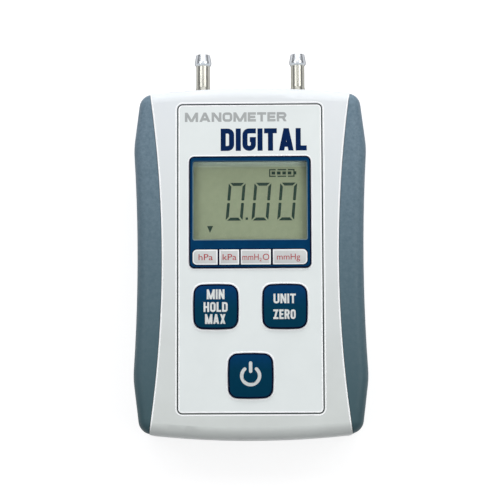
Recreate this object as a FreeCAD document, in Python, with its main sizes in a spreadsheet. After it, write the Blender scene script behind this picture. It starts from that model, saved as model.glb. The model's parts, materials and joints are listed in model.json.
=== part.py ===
import FreeCAD, Part
import math
import os
import re

import Sketcher

Vector = FreeCAD.Vector

# A handheld digital manometer, lying on its back.
# X runs across the case, Y towards the pressure ports, Z out of the display.
# The origin is the middle of the rear face. Sizes are in millimetres.
SIZES = {
    # Case outline, seen from the front
    "case_length": 121.9,
    "case_depth": 32.0,
    "waist_half_width": 39.25,
    "waist_radius": 590.0,
    "bulge_place": 38.8,
    "bulge_radius": 30.0,
    "corner_draw_in": 0.5,
    "corner_radius": 5.0,
    "end_radius": 330.0,
    "front_round": 4.1,
    "rear_round": 3.0,
    # Case walls
    "side_wall": 2.0,
    "end_wall": 2.2,
    "front_wall": 2.0,
    "rear_wall": 2.2,
    "cavity_corner": 8.0,
    "cavity_round": 1.0,
    "hollow_end_margin": 5.0,
    "parting_drop": 5.0,
    "lip_height": 1.2,
    "lip_thickness": 0.9,
    "lip_inset": 0.1,
    "lip_gap": 0.1,
    "shadow_height": 0.3,
    "shadow_depth": 0.4,
    # Soft side grips
    "grip_thickness": 1.8,
    "grip_step": 0.25,
    "grip_front_width": 8.75,
    "seam_radius": 410.0,
    "seam_gap": 0.15,
    # Front label
    "label_width": 49.5,
    "label_upper_margin": 6.5,
    "label_lower_margin": 9.0,
    "label_corner": 1.5,
    "label_recess": 0.35,
    "label_thickness": 0.3,
    "label_gap": 0.3,
    # Display opening, the moulded mask round it and the clear window under the mask
    "view_width": 39.3,
    "view_length": 27.4,
    "view_place": 21.0,
    "view_corner": 0.8,
    "view_spare": 0.9,
    "mask_side": 1.22,
    "mask_upper_end": 1.55,
    "mask_lower_end": 9.65,
    "mask_corner": 1.7,
    "mask_recess": 1.3,
    "mask_gap": 0.1,
    "mask_rise": 0.4,
    "mask_round": 0.5,
    "mask_edge_round": 0.35,
    "window_thickness": 1.0,
    "window_fit": 0.1,
    # Keys
    "key_width": 15.25,
    "key_side_radius": 85.0,
    "key_corner": 2.6,
    "key_gap": 0.2,
    "key_flange": 0.9,
    "key_flange_thickness": 1.3,
    "key_flange_gap": 0.1,
    "key_rise": 0.9,
    "key_crown_radius": 110.0,
    "key_round": 0.5,
    "key_spread": 11.8,
    "upper_key_place": -15.65,
    "power_key_margin": 12.65,
    # Key switches
    "switch_width": 6.0,
    "switch_floor": 1.0,
    "plunger_radius": 1.7,
    "plunger_gap": 0.1,
    "plunger_show": 0.9,
    "plunger_room": 0.8,
    # Liquid crystal display
    "cell_glass": 1.1,
    "lcd_side": 1.85,
    "lcd_end": 2.9,
    "lcd_ledge": 2.4,
    "lcd_gap": 0.6,
    "lcd_fit": 0.2,
    "lcd_frame_wall": 1.8,
    "lcd_frame_gap": 0.1,
    "reflector_side": 2.5,
    "reflector_end": 4.5,
    "reflector_thickness": 0.4,
    "zebra_side": 2.5,
    "zebra_thickness": 1.8,
    "zebra_fit": 0.15,
    # Circuit board
    "board_thickness": 1.6,
    "board_side_clearance": 5.3,
    "board_gap": 2.1,
    "board_end_clearance": 3.0,
    "board_port_clearance": 1.5,
    "upper_board_screw_inset": 3.9,
    "lower_board_screw_inset": 3.4,
    "lower_board_screw_y": -28.0,
    "board_boss_radius": 2.4,
    "board_boss_gap": 1.0,
    "board_screw_radius": 1.0,
    "board_screw_length": 5.0,
    "board_screw_head": 1.9,
    "board_screw_head_height": 1.2,
    # Chips and small parts on the board
    "processor_width": 11.0,
    "processor_length": 11.0,
    "processor_height": 1.6,
    "processor_side_inset": 10.65,
    "processor_y": -37.4,
    "converter_width": 6.2,
    "converter_length": 5.0,
    "converter_height": 1.5,
    "converter_side_inset": 12.15,
    "converter_y": 10.5,
    "crystal_width": 11.4,
    "crystal_length": 3.8,
    "crystal_height": 3.5,
    "crystal_x": 0.0,
    "crystal_y": -27.0,
    "capacitor_width": 3.5,
    "capacitor_length": 2.8,
    "capacitor_height": 1.9,
    "capacitor_x": 17.0,
    "capacitor_y": -33.0,
    "capacitor_pitch": 5.0,
    "resistor_width": 2.0,
    "resistor_length": 1.3,
    "resistor_height": 0.6,
    "resistor_x": 12.0,
    "resistor_y": -33.0,
    "resistor_pitch": 3.0,
    # Screws that hold the case together
    "screw_side_inset": 11.65,
    "screw_end_inset": 12.9,
    "screw_radius": 1.5,
    "screw_length": 16.0,
    "screw_head": 2.8,
    "screw_head_height": 2.2,
    "screw_clearance": 0.2,
    "screw_ledge": 2.5,
    "screw_fit": 0.02,
    "cross_reach_share": 0.6,
    "cross_width_share": 0.15,
    "pilot_spare": 1.0,
    "front_boss_radius": 3.4,
    "rear_boss_radius": 4.2,
    "boss_clearance": 0.4,
    # Pressure ports in the top end
    "port_x": 16.8,
    "port_reach": 14.95,
    "barb_tip_radius": 2.45,
    "barb_radius": 2.95,
    "barb_slope": 2.6,
    "barb_land": 0.8,
    "barb_back": 0.75,
    "shank_radius": 2.4,
    "flare_length": 3.2,
    "flare_radius": 3.15,
    "port_flange_radius": 3.8,
    "port_flange_thickness": 0.8,
    "port_recess": 1.0,
    "port_hole_gap": 0.1,
    "port_thread_radius": 3.0,
    "port_thread_spare": 0.7,
    "port_boss_radius": 6.4,
    "port_boss_height": 1.6,
    "port_bore_radius": 1.1,
    "tail_radius": 1.6,
    "tail_length": 5.0,
    "seal_thickness": 0.8,
    "seal_radius": 5.2,
    "nut_width": 9.0,
    "nut_thickness": 3.0,
    # Pressure sensor and its tubes
    "sensor_width": 20.0,
    "sensor_length": 18.0,
    "sensor_height": 8.0,
    "sensor_tub_gap": 2.7,
    "sensor_port_x": 5.0,
    "sensor_port_drop": 4.8,
    "sensor_port_length": 5.0,
    "tube_fit": 0.02,
    "tube_wall": 0.9,
    "tube_end_gap": 0.3,
    # Two battery cells in the rear cover's tub
    "cell_radius": 7.25,
    "cell_length": 50.5,
    "cell_nub_radius": 2.75,
    "cell_nub_length": 1.0,
    "cell_round": 0.8,
    "cell_gap": 0.7,
    "cell_clearance": 0.4,
    "tub_wall": 1.2,
    "tub_end_margin": 4.95,
    "tub_spare": 3.1,
    "contact_thickness": 0.4,
    "contact_width": 9.0,
    "contact_cone_radius": 3.6,
    "contact_cone_lean": 30.0,
    "contact_tab_width": 3.0,
    "contact_slot_gap": 0.25,
    # Sliding battery door
    "door_inset": 0.2,
    "door_thickness": 2.0,
    "door_lap": 1.95,
    "door_end_lap": 0.2,
    "door_gap": 0.15,
    "tongue_width": 1.2,
    "tongue_thickness": 1.0,
    "rail_width": 2.2,
    "rail_height": 1.8,
    "thumb_groove_width": 14.0,
    "thumb_groove_depth": 0.5,
    "thumb_groove_length": 1.0,
    "thumb_groove_step": 2.2,
    "thumb_groove_drop": 6.8,
}

doc = FreeCAD.newDocument("digital_manometer")
sheet = doc.addObject("Spreadsheet::Sheet", "Sizes")
for row, (alias, number) in enumerate(SIZES.items(), start=1):
    sheet.set(f"A{row}", alias)
    sheet.set(f"B{row}", str(number))
    sheet.setAlias(f"B{row}", alias)
doc.recompute()

ALIAS = re.compile(r"\b(" + "|".join(SIZES) + r")\b")

# Heights above the rear face that several pieces share
FRONT_INSIDE = "(case_depth - front_wall)"
MASK_SEAT = "(case_depth - mask_recess)"
MASK_TOP = "(case_depth + mask_rise)"
CELL_AXIS = "(door_inset + door_thickness + cell_clearance + cell_radius)"
TUB_CEILING = f"({CELL_AXIS} + cell_radius + cell_clearance)"
TUB_TOP = f"({TUB_CEILING} + tub_wall)"
BOARD_BOTTOM = f"({TUB_TOP} + board_gap)"
BOARD_TOP = f"({BOARD_BOTTOM} + board_thickness)"
PORT_HEIGHT = f"({BOARD_BOTTOM} - sensor_port_drop)"
PARTING = f"({PORT_HEIGHT} - parting_drop)"
SCREW_SEAT = f"({PARTING} - screw_ledge)"
FLANGE_TOP = f"({FRONT_INSIDE} - key_flange_gap)"
FLANGE_BOTTOM = f"({FLANGE_TOP} - key_flange_thickness)"
KEY_TOP = "(case_depth + key_rise)"
SWITCH_TOP = f"({FLANGE_BOTTOM} - plunger_show)"
LCD_TOP = f"({FRONT_INSIDE} - lcd_gap)"
LCD_BOTTOM = f"({LCD_TOP} - 2*cell_glass)"

# Places across the case
SEAM_X = "(waist_half_width - grip_front_width)"
SCREW_X = "(waist_half_width - screw_side_inset)"
BOARD_SIDE = "(waist_half_width - grip_thickness - side_wall - board_side_clearance)"
BOARD_NECK = f"({SCREW_X} - rear_boss_radius - boss_clearance)"
CELL_X = "(cell_radius + cell_gap/2)"
TUB_HALF_WIDTH = f"({CELL_X} + cell_radius + cell_clearance)"
DOOR_HALF_WIDTH = f"({TUB_HALF_WIDTH} + door_lap)"

# The label, mask and display, seen from the front
LABEL_LENGTH = "(case_length - label_upper_margin - label_lower_margin)"
LABEL_Y = "((label_lower_margin - label_upper_margin)/2)"
MASK_WIDTH = "(view_width + 2*mask_side)"
MASK_LENGTH = "(view_length + mask_upper_end + mask_lower_end)"
MASK_Y = "(view_place + (mask_upper_end - mask_lower_end)/2)"
LCD_WIDTH = "(view_width + 2*lcd_side)"
LCD_LENGTH = "(view_length + 2*lcd_end)"
ZEBRA_WIDTH = f"({LCD_WIDTH} - 2*zebra_side)"
REFLECTOR_WIDTH = f"({LCD_WIDTH} - 2*reflector_side)"
REFLECTOR_LENGTH = f"({LCD_LENGTH} - 2*reflector_end)"
POWER_KEY_Y = f"({LABEL_Y} - {LABEL_LENGTH}/2 + power_key_margin)"

# Places along the case of the screws and the battery tub
SCREW_Y = "(case_length/2 - screw_end_inset)"
TUB_BOTTOM = "(tub_end_margin - case_length/2)"
TUB_INNER_TOP = f"({TUB_BOTTOM} + cell_length + tub_spare)"
TUB_OUTER_LENGTH = "(cell_length + tub_spare + 2*tub_wall)"
TUB_MIDDLE = f"({TUB_BOTTOM} + (cell_length + tub_spare)/2)"
DOOR_TOP = f"({TUB_INNER_TOP} + door_end_lap)"
LCD_FRAME_END = f"(view_place + {LCD_LENGTH}/2 + lcd_fit + lcd_frame_wall)"

# The circuit board's two right-hand screws, beyond the display and beside the keys
BOARD_SCREWS = ((f"({BOARD_NECK} - upper_board_screw_inset)",
                 f"({LCD_FRAME_END} + board_boss_radius + board_boss_gap)"),
                (f"({BOARD_SIDE} - lower_board_screw_inset)", "lower_board_screw_y"))

# Places along the case that the port, nut, tube and sensor share
PORT_FACE = "(case_length/2 - end_radius + sqrt(end_radius^2 - port_x^2))"
PORT_SEAT = f"({PORT_FACE} - port_recess)"
PORT_TIP = f"({PORT_FACE} + port_reach)"
PORT_BOSS_FACE = "(case_length/2 - end_wall - port_boss_height)"
NUT_FACE = f"({PORT_BOSS_FACE} - seal_thickness)"
THREAD_END = f"({NUT_FACE} - nut_thickness - port_thread_spare)"
TAIL_END = f"({THREAD_END} - tail_length)"
SENSOR_Y = f"({TUB_INNER_TOP} + tub_wall + sensor_tub_gap + sensor_length/2)"
SENSOR_FACE = f"({SENSOR_Y} + sensor_length/2)"
SENSOR_PORT_END = f"({SENSOR_FACE} + sensor_port_length)"

nodes = []


def tied(text):
    """Return an expression with each size's name led back to the sheet."""
    return ALIAS.sub(r"Sizes.\1", text)


def value(text):
    """Work out an expression of the sheet's sizes as a number."""
    return float(sheet.evalExpression(tied(text)))


def bind(item, name, text):
    """Tie a property to an expression of the sheet's sizes."""
    item.setExpression(name, tied(text))


def publish(item, label):
    """Name a finished sub-part and put it on the list of nodes."""
    item.Label = label
    nodes.append(item)
    return item


def new_body(name, x="0", y="0", z="0", base=None):
    """Start a body at a place, on the shape of another object if one is given."""
    body = doc.addObject("PartDesign::Body", name)
    if base is not None:
        body.BaseFeature = base
        doc.recompute()
    for axis, text in zip("xyz", (x, y, z)):
        if text != "0":
            bind(body, f"Placement.Base.{axis}", text)
    return body


def sketch_on(body, plane, level="0"):
    """Attach a sketch to one of the body's own planes, a level along its normal."""
    sketch = body.newObject("Sketcher::SketchObject", "Profile")
    feature = next(f for f in body.Origin.OriginFeatures if f.Role == plane)
    sketch.AttachmentSupport = (feature, [""])
    sketch.MapMode = "FlatFace"
    bind(sketch, "AttachmentOffset.Base.z", level)
    return sketch


def flip(text):
    """Return an expression with the opposite sign."""
    return f"-({text})"


def hold(sketch, kind, text, *where):
    """Add a constraint whose size is an expression."""
    index = sketch.addConstraint(Sketcher.Constraint(kind, *where, value(text)))
    sketch.setExpression(f"Constraints[{index}]", tied(text))


def hold_point(sketch, item, point, x, y):
    """Fix a point of a sketch by its distances from the sketch's origin."""
    hold(sketch, "DistanceX", x, -1, 1, item, point)
    hold(sketch, "DistanceY", y, -1, 1, item, point)


def polygon(sketch, corners):
    """Draw a closed outline of straight lines through tied corners."""
    places = [Vector(value(x), value(y), 0) for x, y in corners]
    first = sketch.GeometryCount
    count = len(places)
    for index in range(count):
        sketch.addGeometry(Part.LineSegment(places[index], places[(index + 1) % count]), False)
    for index in range(count):
        after = first + (index + 1) % count
        sketch.addConstraint(Sketcher.Constraint("Coincident", first + index, 2, after, 1))
    for index, (x, y) in enumerate(corners):
        hold_point(sketch, first + index, 1, x, y)


def rectangle(sketch, width, length, x="0", y="0"):
    """Draw a rectangle about a centre."""
    left, right = f"{x} - ({width})/2", f"{x} + ({width})/2"
    low, high = f"{y} - ({length})/2", f"{y} + ({length})/2"
    polygon(sketch, [(left, low), (right, low), (right, high), (left, high)])


def circle(sketch, radius, x="0", y="0"):
    """Draw a circle about a centre."""
    centre = Vector(value(x), value(y), 0)
    item = sketch.addGeometry(Part.Circle(centre, Vector(0, 0, 1), value(radius)), False)
    hold_point(sketch, item, 3, x, y)
    hold(sketch, "Radius", radius, item)


def arc(centre, radius, start, end):
    """Return an arc that runs counter-clockwise between two angles."""
    return Part.ArcOfCircle(Part.Circle(centre, Vector(0, 0, 1), radius), start, end)


def tangent_loop(sketch, pieces, closed=True):
    """Draw pieces that run smoothly into each other, each with its first and last point."""
    first = sketch.GeometryCount
    count = len(pieces)
    for geometry, _, _ in pieces:
        sketch.addGeometry(geometry, False)
    for index in range(count if closed else count - 1):
        after = (index + 1) % count
        tail, head = pieces[index][2], pieces[after][1]
        joint = Sketcher.Constraint("Tangent", first + index, tail, first + after, head)
        sketch.addConstraint(joint)
    return first


def rounded_rectangle(sketch, width, length, corner, x="0", y="0"):
    """Draw a rectangle with round corners about a centre."""
    radius = value(corner)
    right, top = value(f"({width})/2"), value(f"({length})/2")
    middle = Vector(value(x), value(y), 0)
    pieces = []
    for quarter, (across, along) in enumerate([(1, 1), (-1, 1), (-1, -1), (1, -1)]):
        centre = middle + Vector(across * (right - radius), along * (top - radius), 0)
        start = quarter * math.pi / 2
        pieces.append((arc(centre, radius, start, start + math.pi / 2), 1, 2))
    lines = []
    for index, (geometry, _, _) in enumerate(pieces):
        following = pieces[(index + 1) % 4][0]
        lines.append((Part.LineSegment(geometry.EndPoint, following.StartPoint), 1, 2))
    loop = [piece for pair in zip(pieces, lines) for piece in pair]
    first = tangent_loop(sketch, loop)
    signs = [("+", "+"), ("-", "+"), ("-", "-"), ("+", "-")]
    for index, (across, along) in enumerate(signs):
        item = first + 2 * index
        hold_point(sketch, item, 3, f"{x} {across} (({width})/2 - {corner})",
                   f"{y} {along} (({length})/2 - {corner})")
        hold(sketch, "Radius", corner, item)


def key_outline(sketch, grow, x="0", y="0"):
    """Draw a key's square outline, with bowed sides and round corners, grown all round."""
    half, side, corner = "key_width/2", f"(key_side_radius + {grow})", f"(key_corner + {grow})"
    reach = value(f"key_side_radius - {half}")
    span = value("key_side_radius - key_corner")
    diagonal = (math.sqrt(2 * span**2 - reach**2) - reach) / 2
    lean = math.atan2(diagonal, diagonal + reach)
    middle = Vector(value(x), value(y), 0)
    pieces = []
    for quarter in range(4):
        facing = quarter * math.pi / 2
        back = Vector(-math.cos(facing), -math.sin(facing), 0) * reach
        pieces.append((arc(middle + back, value(side), facing - lean, facing + lean), 1, 2))
        turn = facing + math.pi / 4
        out = Vector(math.cos(turn), math.sin(turn), 0) * diagonal * math.sqrt(2)
        pieces.append((arc(middle + out, value(corner), facing + lean,
                           facing + math.pi / 2 - lean), 1, 2))
    first = tangent_loop(sketch, pieces)
    away = f"(key_side_radius - {half})"
    centres = [(f"{x} - {away}", y), (x, f"{y} - {away}"), (f"{x} + {away}", y), (x, f"{y} + {away}")]
    for index, (across, along) in enumerate(centres):
        hold_point(sketch, first + 2 * index, 3, across, along)
        hold(sketch, "Radius", side, first + 2 * index)
        hold(sketch, "Radius", corner, first + 2 * index + 1)


def case_outline(sketch, side_inset, end_inset, corner):
    """Draw the case's outline: hollow waists, bulges, tapers, corners and bowed ends.

    The sides lie side_inset inside the outer outline and the ends end_inset inside.
    """
    waist = f"(waist_radius + {side_inset})"
    waist_x = "(waist_half_width + waist_radius)"
    bulge = f"(bulge_radius - {side_inset})"
    end = f"(end_radius - {end_inset})"
    end_y = "(case_length/2 - end_radius)"
    corner_x = f"(waist_half_width - corner_draw_in - {side_inset} - {corner})"
    waist_r, bulge_r, corner_r, end_r = value(waist), value(bulge), value(corner), value(end)
    waist_c = Vector(value(waist_x), 0, 0)
    end_c = Vector(0, value(end_y), 0)
    place = value("bulge_place")
    bulge_c = Vector(waist_c.x - math.sqrt((waist_r + bulge_r)**2 - place**2), place, 0)
    across = value(corner_x)
    corner_c = Vector(across, end_c.y + math.sqrt((end_r - corner_r)**2 - across**2), 0)
    run = corner_c - bulge_c
    low = math.atan2(-bulge_c.y, waist_c.x - bulge_c.x)
    lean = math.atan2(run.y, run.x) - math.acos((bulge_r - corner_r) / run.Length)
    high = math.atan2(corner_c.y - end_c.y, corner_c.x)
    facing = Vector(math.cos(lean), math.sin(lean), 0)
    taper = (bulge_c + facing * bulge_r, corner_c + facing * corner_r)

    def mirrored(point, x_sign, y_sign):
        return Vector(point.x * x_sign, point.y * y_sign, 0)

    def quarter(x_sign, y_sign, forwards):
        """Return the bulge, taper and corner of one quarter, in the order that the loop runs."""
        def turned(centre, radius, start, finish):
            angles = {(1, 1): (start, finish), (-1, 1): (math.pi - finish, math.pi - start),
                      (-1, -1): (math.pi + start, math.pi + finish), (1, -1): (-finish, -start)}
            return arc(mirrored(centre, x_sign, y_sign), radius, *angles[(x_sign, y_sign)])
        ends = [mirrored(point, x_sign, y_sign) for point in taper]
        line = Part.LineSegment(*ends) if forwards else Part.LineSegment(*reversed(ends))
        parts = [turned(bulge_c, bulge_r, low, lean), line, turned(corner_c, corner_r, lean, high)]
        return [(part, 1, 2) for part in (parts if forwards else reversed(parts))]

    pieces = [(arc(waist_c, waist_r, math.pi + low, math.pi - low), 2, 1)]
    pieces += quarter(1, 1, True)
    pieces += [(arc(end_c, end_r, high, math.pi - high), 1, 2)]
    pieces += quarter(-1, 1, False)
    pieces += [(arc(mirrored(waist_c, -1, 1), waist_r, low, -low), 2, 1)]
    pieces += quarter(-1, -1, True)
    pieces += [(arc(mirrored(end_c, 1, -1), end_r, math.pi + high, 2 * math.pi - high), 1, 2)]
    pieces += quarter(1, -1, False)
    first = tangent_loop(sketch, pieces)
    hold_point(sketch, first, 3, waist_x, "0")
    hold_point(sketch, first + 8, 3, flip(waist_x), "0")
    hold_point(sketch, first + 4, 3, "0", end_y)
    hold_point(sketch, first + 12, 3, "0", flip(end_y))
    for item, radius in ((0, waist), (8, waist), (4, end), (12, end)):
        hold(sketch, "Radius", radius, first + item)
    signs = [("", "", 1, 3), ("-", "", 7, 5), ("-", "-", 9, 11), ("", "-", 15, 13)]
    for x_sign, y_sign, bulge_item, corner_item in signs:
        hold(sketch, "Radius", bulge, first + bulge_item)
        hold(sketch, "DistanceY", f"{y_sign}bulge_place", -1, 1, first + bulge_item, 3)
        hold(sketch, "Radius", corner, first + corner_item)
        hold(sketch, "DistanceX", f"{x_sign}{corner_x}", -1, 1, first + corner_item, 3)


def grow(body, kind, profile, **settings):
    """Add a feature to a body and compute it, with its lengths tied to expressions."""
    before = body.Shape.Volume if body.Tip is not None and not body.Shape.isNull() else 0.0
    feature = body.newObject(f"PartDesign::{kind}", kind)
    feature.Profile = profile
    for name, setting in settings.items():
        if isinstance(setting, str):
            bind(feature, name, setting)
        else:
            setattr(feature, name, setting)
    doc.recompute()
    change = body.Shape.Volume - before
    adds = kind in ("Pad", "Revolution", "AdditivePipe", "AdditiveLoft")
    if "Up-to-date" not in feature.State or (change <= 0 if adds else change >= 0):
        raise RuntimeError(f"{body.Label}: {kind} changed the volume by {change:.3f}")
    return feature


def pad(body, profile, length, backwards=False, **settings):
    """Raise a profile along its normal, or the other way."""
    return grow(body, "Pad", profile, Length=length, Reversed=backwards, **settings)


def pocket(body, profile, length, along_normal=False):
    """Cut a profile against its normal, or along it."""
    return grow(body, "Pocket", profile, Length=length, Reversed=along_normal)


def revolve(body, profile, axis="H_Axis"):
    """Turn a profile once round one of its sketch's axes."""
    return grow(body, "Revolution", profile, ReferenceAxis=(profile, [axis]), Angle=360.0)


def edges_at(shape, height):
    """Return the names of the edges that lie flat at a height."""
    level = value(height)
    found = []
    for index, edge in enumerate(shape.Edges, start=1):
        box = edge.BoundBox
        if abs(box.ZMin - level) < 1e-4 and abs(box.ZMax - level) < 1e-4:
            found.append(f"Edge{index}")
    return found


def round_edges(body, names, radius):
    """Round named edges of the body's last feature."""
    feature = body.newObject("PartDesign::Fillet", "Fillet")
    feature.Base = (body.Tip if body.Tip is not feature else feature.BaseFeature, names)
    bind(feature, "Radius", radius)
    doc.recompute()
    if "Up-to-date" not in feature.State:
        raise RuntimeError(f"{body.Label}: a fillet failed")
    return feature


def combine(kind, name, base, tool):
    """Join two objects by a boolean: Cut, Fuse or Common."""
    result = doc.addObject(f"Part::{kind}", name)
    result.Base = base
    result.Tool = tool
    return result


def mirror(source, name, normal=Vector(1, 0, 0)):
    """Mirror an object in a plane through the origin."""
    copy = doc.addObject("Part::Mirroring", name)
    copy.Source = source
    copy.Normal = normal
    return copy


def gather(name, items):
    """Keep several separate solids together in one object."""
    group = doc.addObject("Part::Compound", name)
    group.Links = items
    return group


def block(name, size, corner):
    """Make a box from three expressions for its size and three for its lowest corner."""
    box = doc.addObject("Part::Box", name)
    for side, text in zip(("Length", "Width", "Height"), size):
        bind(box, side, text)
    for axis, text in zip("xyz", corner):
        bind(box, f"Placement.Base.{axis}", text)
    return box


def case_form(name, inset):
    """Make the whole case's outer form, drawn in by an inset all round."""
    body = new_body(name)
    outline = sketch_on(body, "XY_Plane", inset)
    case_outline(outline, inset, inset, f"(corner_radius - {inset})")
    pad(body, outline, f"case_depth - 2*{inset}")
    round_edges(body, edges_at(body.Shape, f"case_depth - {inset}"), f"front_round - {inset}")
    round_edges(body, edges_at(body.Shape, inset), f"rear_round - {inset}")
    return body


def cavity_form():
    """Make the room inside the case, within the walls that carry the grips."""
    body = new_body("cavity_form")
    floor, ceiling = "(grip_thickness + rear_wall)", f"({FRONT_INSIDE} - grip_thickness)"
    outline = sketch_on(body, "XY_Plane", floor)
    case_outline(outline, "(grip_thickness + side_wall)", "end_wall", "cavity_corner")
    pad(body, outline, f"{ceiling} - {floor}")
    for level in (floor, ceiling):
        round_edges(body, edges_at(body.Shape, level), "cavity_round")
    return body


def seam_zone(name, gap):
    """Make the block of space beside the right seam, a gap nearer the middle."""
    body = new_body(name)
    centre = Vector(value(f"{SEAM_X} + seam_radius"), 0, 0)
    radius = value(f"seam_radius + {gap}")
    reach = value("case_length")
    turn = math.asin(reach / radius)
    bow = arc(centre, radius, math.pi - turn, math.pi + turn)
    outer = value("waist_half_width*2")
    low, high = Vector(outer, -reach, 0), Vector(outer, reach, 0)
    sketch = sketch_on(body, "XY_Plane", "-case_depth/2")
    sketch.addGeometry([bow, Part.LineSegment(bow.EndPoint, low), Part.LineSegment(low, high),
                        Part.LineSegment(high, bow.StartPoint)], False)
    for index in range(4):
        sketch.addConstraint(Sketcher.Constraint("Coincident", index, 2, (index + 1) % 4, 1))
    hold_point(sketch, 0, 3, f"{SEAM_X} + seam_radius", "0")
    hold(sketch, "Radius", f"seam_radius + {gap}", 0)
    hold_point(sketch, 2, 1, "waist_half_width*2", "-case_length")
    hold_point(sketch, 2, 2, "waist_half_width*2", "case_length")
    sketch.addConstraint(Sketcher.Constraint("Horizontal", 1))
    sketch.addConstraint(Sketcher.Constraint("Horizontal", 3))
    pad(body, sketch, "case_depth*2")
    return body


def grips(seat):
    """Make the soft grips, which wrap each side from front to rear."""
    skin = case_form("grip_form", "grip_step")
    sleeve = combine("Cut", "grip_sleeve", skin, seat)
    right = combine("Common", "right_side_grip", sleeve, seam_zone("grip_zone", "0"))
    publish(right, "right_grip")
    publish(mirror(right, "left_side_grip"), "left_grip")


def case_halves(seat):
    """Return the front and rear shells before their details, cut for the grips."""
    outer = case_form("outer_form", "0")
    right_zone = seam_zone("seat_zone", "seam_gap")
    left_zone = mirror(right_zone, "left_seat_zone")
    zones = gather("seat_zones", [right_zone, left_zone])
    core = combine("Cut", "case_core", outer, combine("Cut", "seat_cut", zones, seat))
    shell = combine("Cut", "case_shell", core, cavity_form())
    span = ("case_length*2", "case_length*2")
    above = block("front_space", (*span, "case_depth*2"), ("-case_length", "-case_length", PARTING))
    below = block("rear_space", (*span, f"case_depth + {PARTING}"),
                  ("-case_length", "-case_length", "-case_depth"))
    return (combine("Common", "front_shell", shell, above),
            combine("Common", "rear_shell", shell, below))


def hollow_outline(sketch):
    """Draw the middle stretch of the case where the wall lies further out."""
    rounded_rectangle(sketch, f"2*({SEAM_X} - seam_gap - side_wall)",
                      "case_length - 2*hollow_end_margin", "cavity_corner/2")


def at_case_screws(sketch, radius):
    """Draw a circle at each of the four case screws."""
    for x in (SCREW_X, flip(SCREW_X)):
        for y in (SCREW_Y, flip(SCREW_Y)):
            circle(sketch, radius, x, y)


def at_board_screws(sketch, radius):
    """Draw a circle at each of the four screws of the circuit board."""
    for x, y in BOARD_SCREWS:
        circle(sketch, radius, x, y)
        circle(sketch, radius, flip(x), y)


def lip_outline(sketch, outwards):
    """Draw the outline of the lip between the covers, a distance out from the cavity."""
    case_outline(sketch, f"(grip_thickness + side_wall - {outwards})", f"(end_wall - {outwards})",
                 f"(cavity_corner + {outwards})")


def at_keys(sketch, clearance):
    """Draw the outline of each of the three keys, grown by a clearance."""
    key_outline(sketch, clearance, "-key_spread", "upper_key_place")
    key_outline(sketch, clearance, "key_spread", "upper_key_place")
    key_outline(sketch, clearance, "0", POWER_KEY_Y)


def front_cover(shell):
    """Make the front cover, with its window, key and port openings and its bosses."""
    body = new_body("front_cover_body", base=shell)
    hollow = sketch_on(body, "XY_Plane", FRONT_INSIDE)
    hollow_outline(hollow)
    pocket(body, hollow, "grip_thickness + cavity_round")
    rebate = sketch_on(body, "XY_Plane", PARTING)
    lip_outline(rebate, "(lip_inset + lip_thickness + lip_gap)")
    pocket(body, rebate, "lip_height + lip_gap", along_normal=True)
    boss = sketch_on(body, "XY_Plane", PARTING)
    at_case_screws(boss, "front_boss_radius")
    pad(body, boss, f"{FRONT_INSIDE} - {PARTING}")
    pilot = sketch_on(body, "XY_Plane", f"{SCREW_SEAT} + screw_length + pilot_spare")
    at_case_screws(pilot, "screw_radius + screw_fit")
    pocket(body, pilot, f"{SCREW_SEAT} + screw_length + pilot_spare - {PARTING}")
    board_boss = sketch_on(body, "XY_Plane", BOARD_TOP)
    at_board_screws(board_boss, "board_boss_radius")
    pad(body, board_boss, f"{FRONT_INSIDE} - {BOARD_TOP}")
    board_pilot = sketch_on(body, "XY_Plane", f"{BOARD_BOTTOM} + board_screw_length + pilot_spare")
    at_board_screws(board_pilot, "board_screw_radius + screw_fit")
    pocket(body, board_pilot, "board_screw_length + pilot_spare - board_thickness")
    recess = sketch_on(body, "XY_Plane", "case_depth")
    rounded_rectangle(recess, "label_width + 2*label_gap", f"{LABEL_LENGTH} + 2*label_gap",
                      "(label_corner + label_gap)", y=LABEL_Y)
    pocket(body, recess, "label_recess")
    seat = sketch_on(body, "XY_Plane", "case_depth")
    mask_opening(seat)
    pocket(body, seat, "mask_recess")
    view = sketch_on(body, "XY_Plane", "case_depth")
    rounded_rectangle(view, "view_width + 2*view_spare", "view_length + 2*view_spare",
                      "view_corner", y="view_place")
    pocket(body, view, "front_wall + grip_thickness")
    keys = sketch_on(body, "XY_Plane", "case_depth")
    at_keys(keys, "key_gap")
    pocket(body, keys, "front_wall + grip_thickness")
    port_boss = sketch_on(body, "XZ_Plane", "end_wall/2 - case_length/2")
    boss_floor, boss_ceiling = f"({PARTING} + lip_height + lip_gap)", f"({PORT_HEIGHT} + port_boss_radius)"
    for x in ("port_x", "-port_x"):
        rounded_rectangle(port_boss, "2*port_boss_radius", f"({boss_ceiling} - {boss_floor})",
                          "cavity_round", x, f"({boss_ceiling} + {boss_floor})/2")
    pad(body, port_boss, "port_boss_height + end_wall/2")
    level = sketch_on(body, "XZ_Plane", "-case_length")
    at_ports(level, "port_flange_radius + port_hole_gap")
    pocket(body, level, f"case_length - {PORT_SEAT}", along_normal=True)
    hole = sketch_on(body, "XZ_Plane", "-case_length")
    at_ports(hole, "port_thread_radius + port_hole_gap")
    pocket(body, hole, f"case_length - {THREAD_END}", along_normal=True)
    publish(body, "front_cover")


def mask_opening(sketch):
    """Draw the opening that the display's mask sits in."""
    rounded_rectangle(sketch, f"{MASK_WIDTH} + 2*mask_gap", f"{MASK_LENGTH} + 2*mask_gap",
                      "(mask_corner + mask_gap)", y=MASK_Y)


def at_ports(sketch, radius):
    """Draw a circle at each of the two pressure ports."""
    for x in ("port_x", "-port_x"):
        circle(sketch, radius, x, PORT_HEIGHT)


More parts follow.
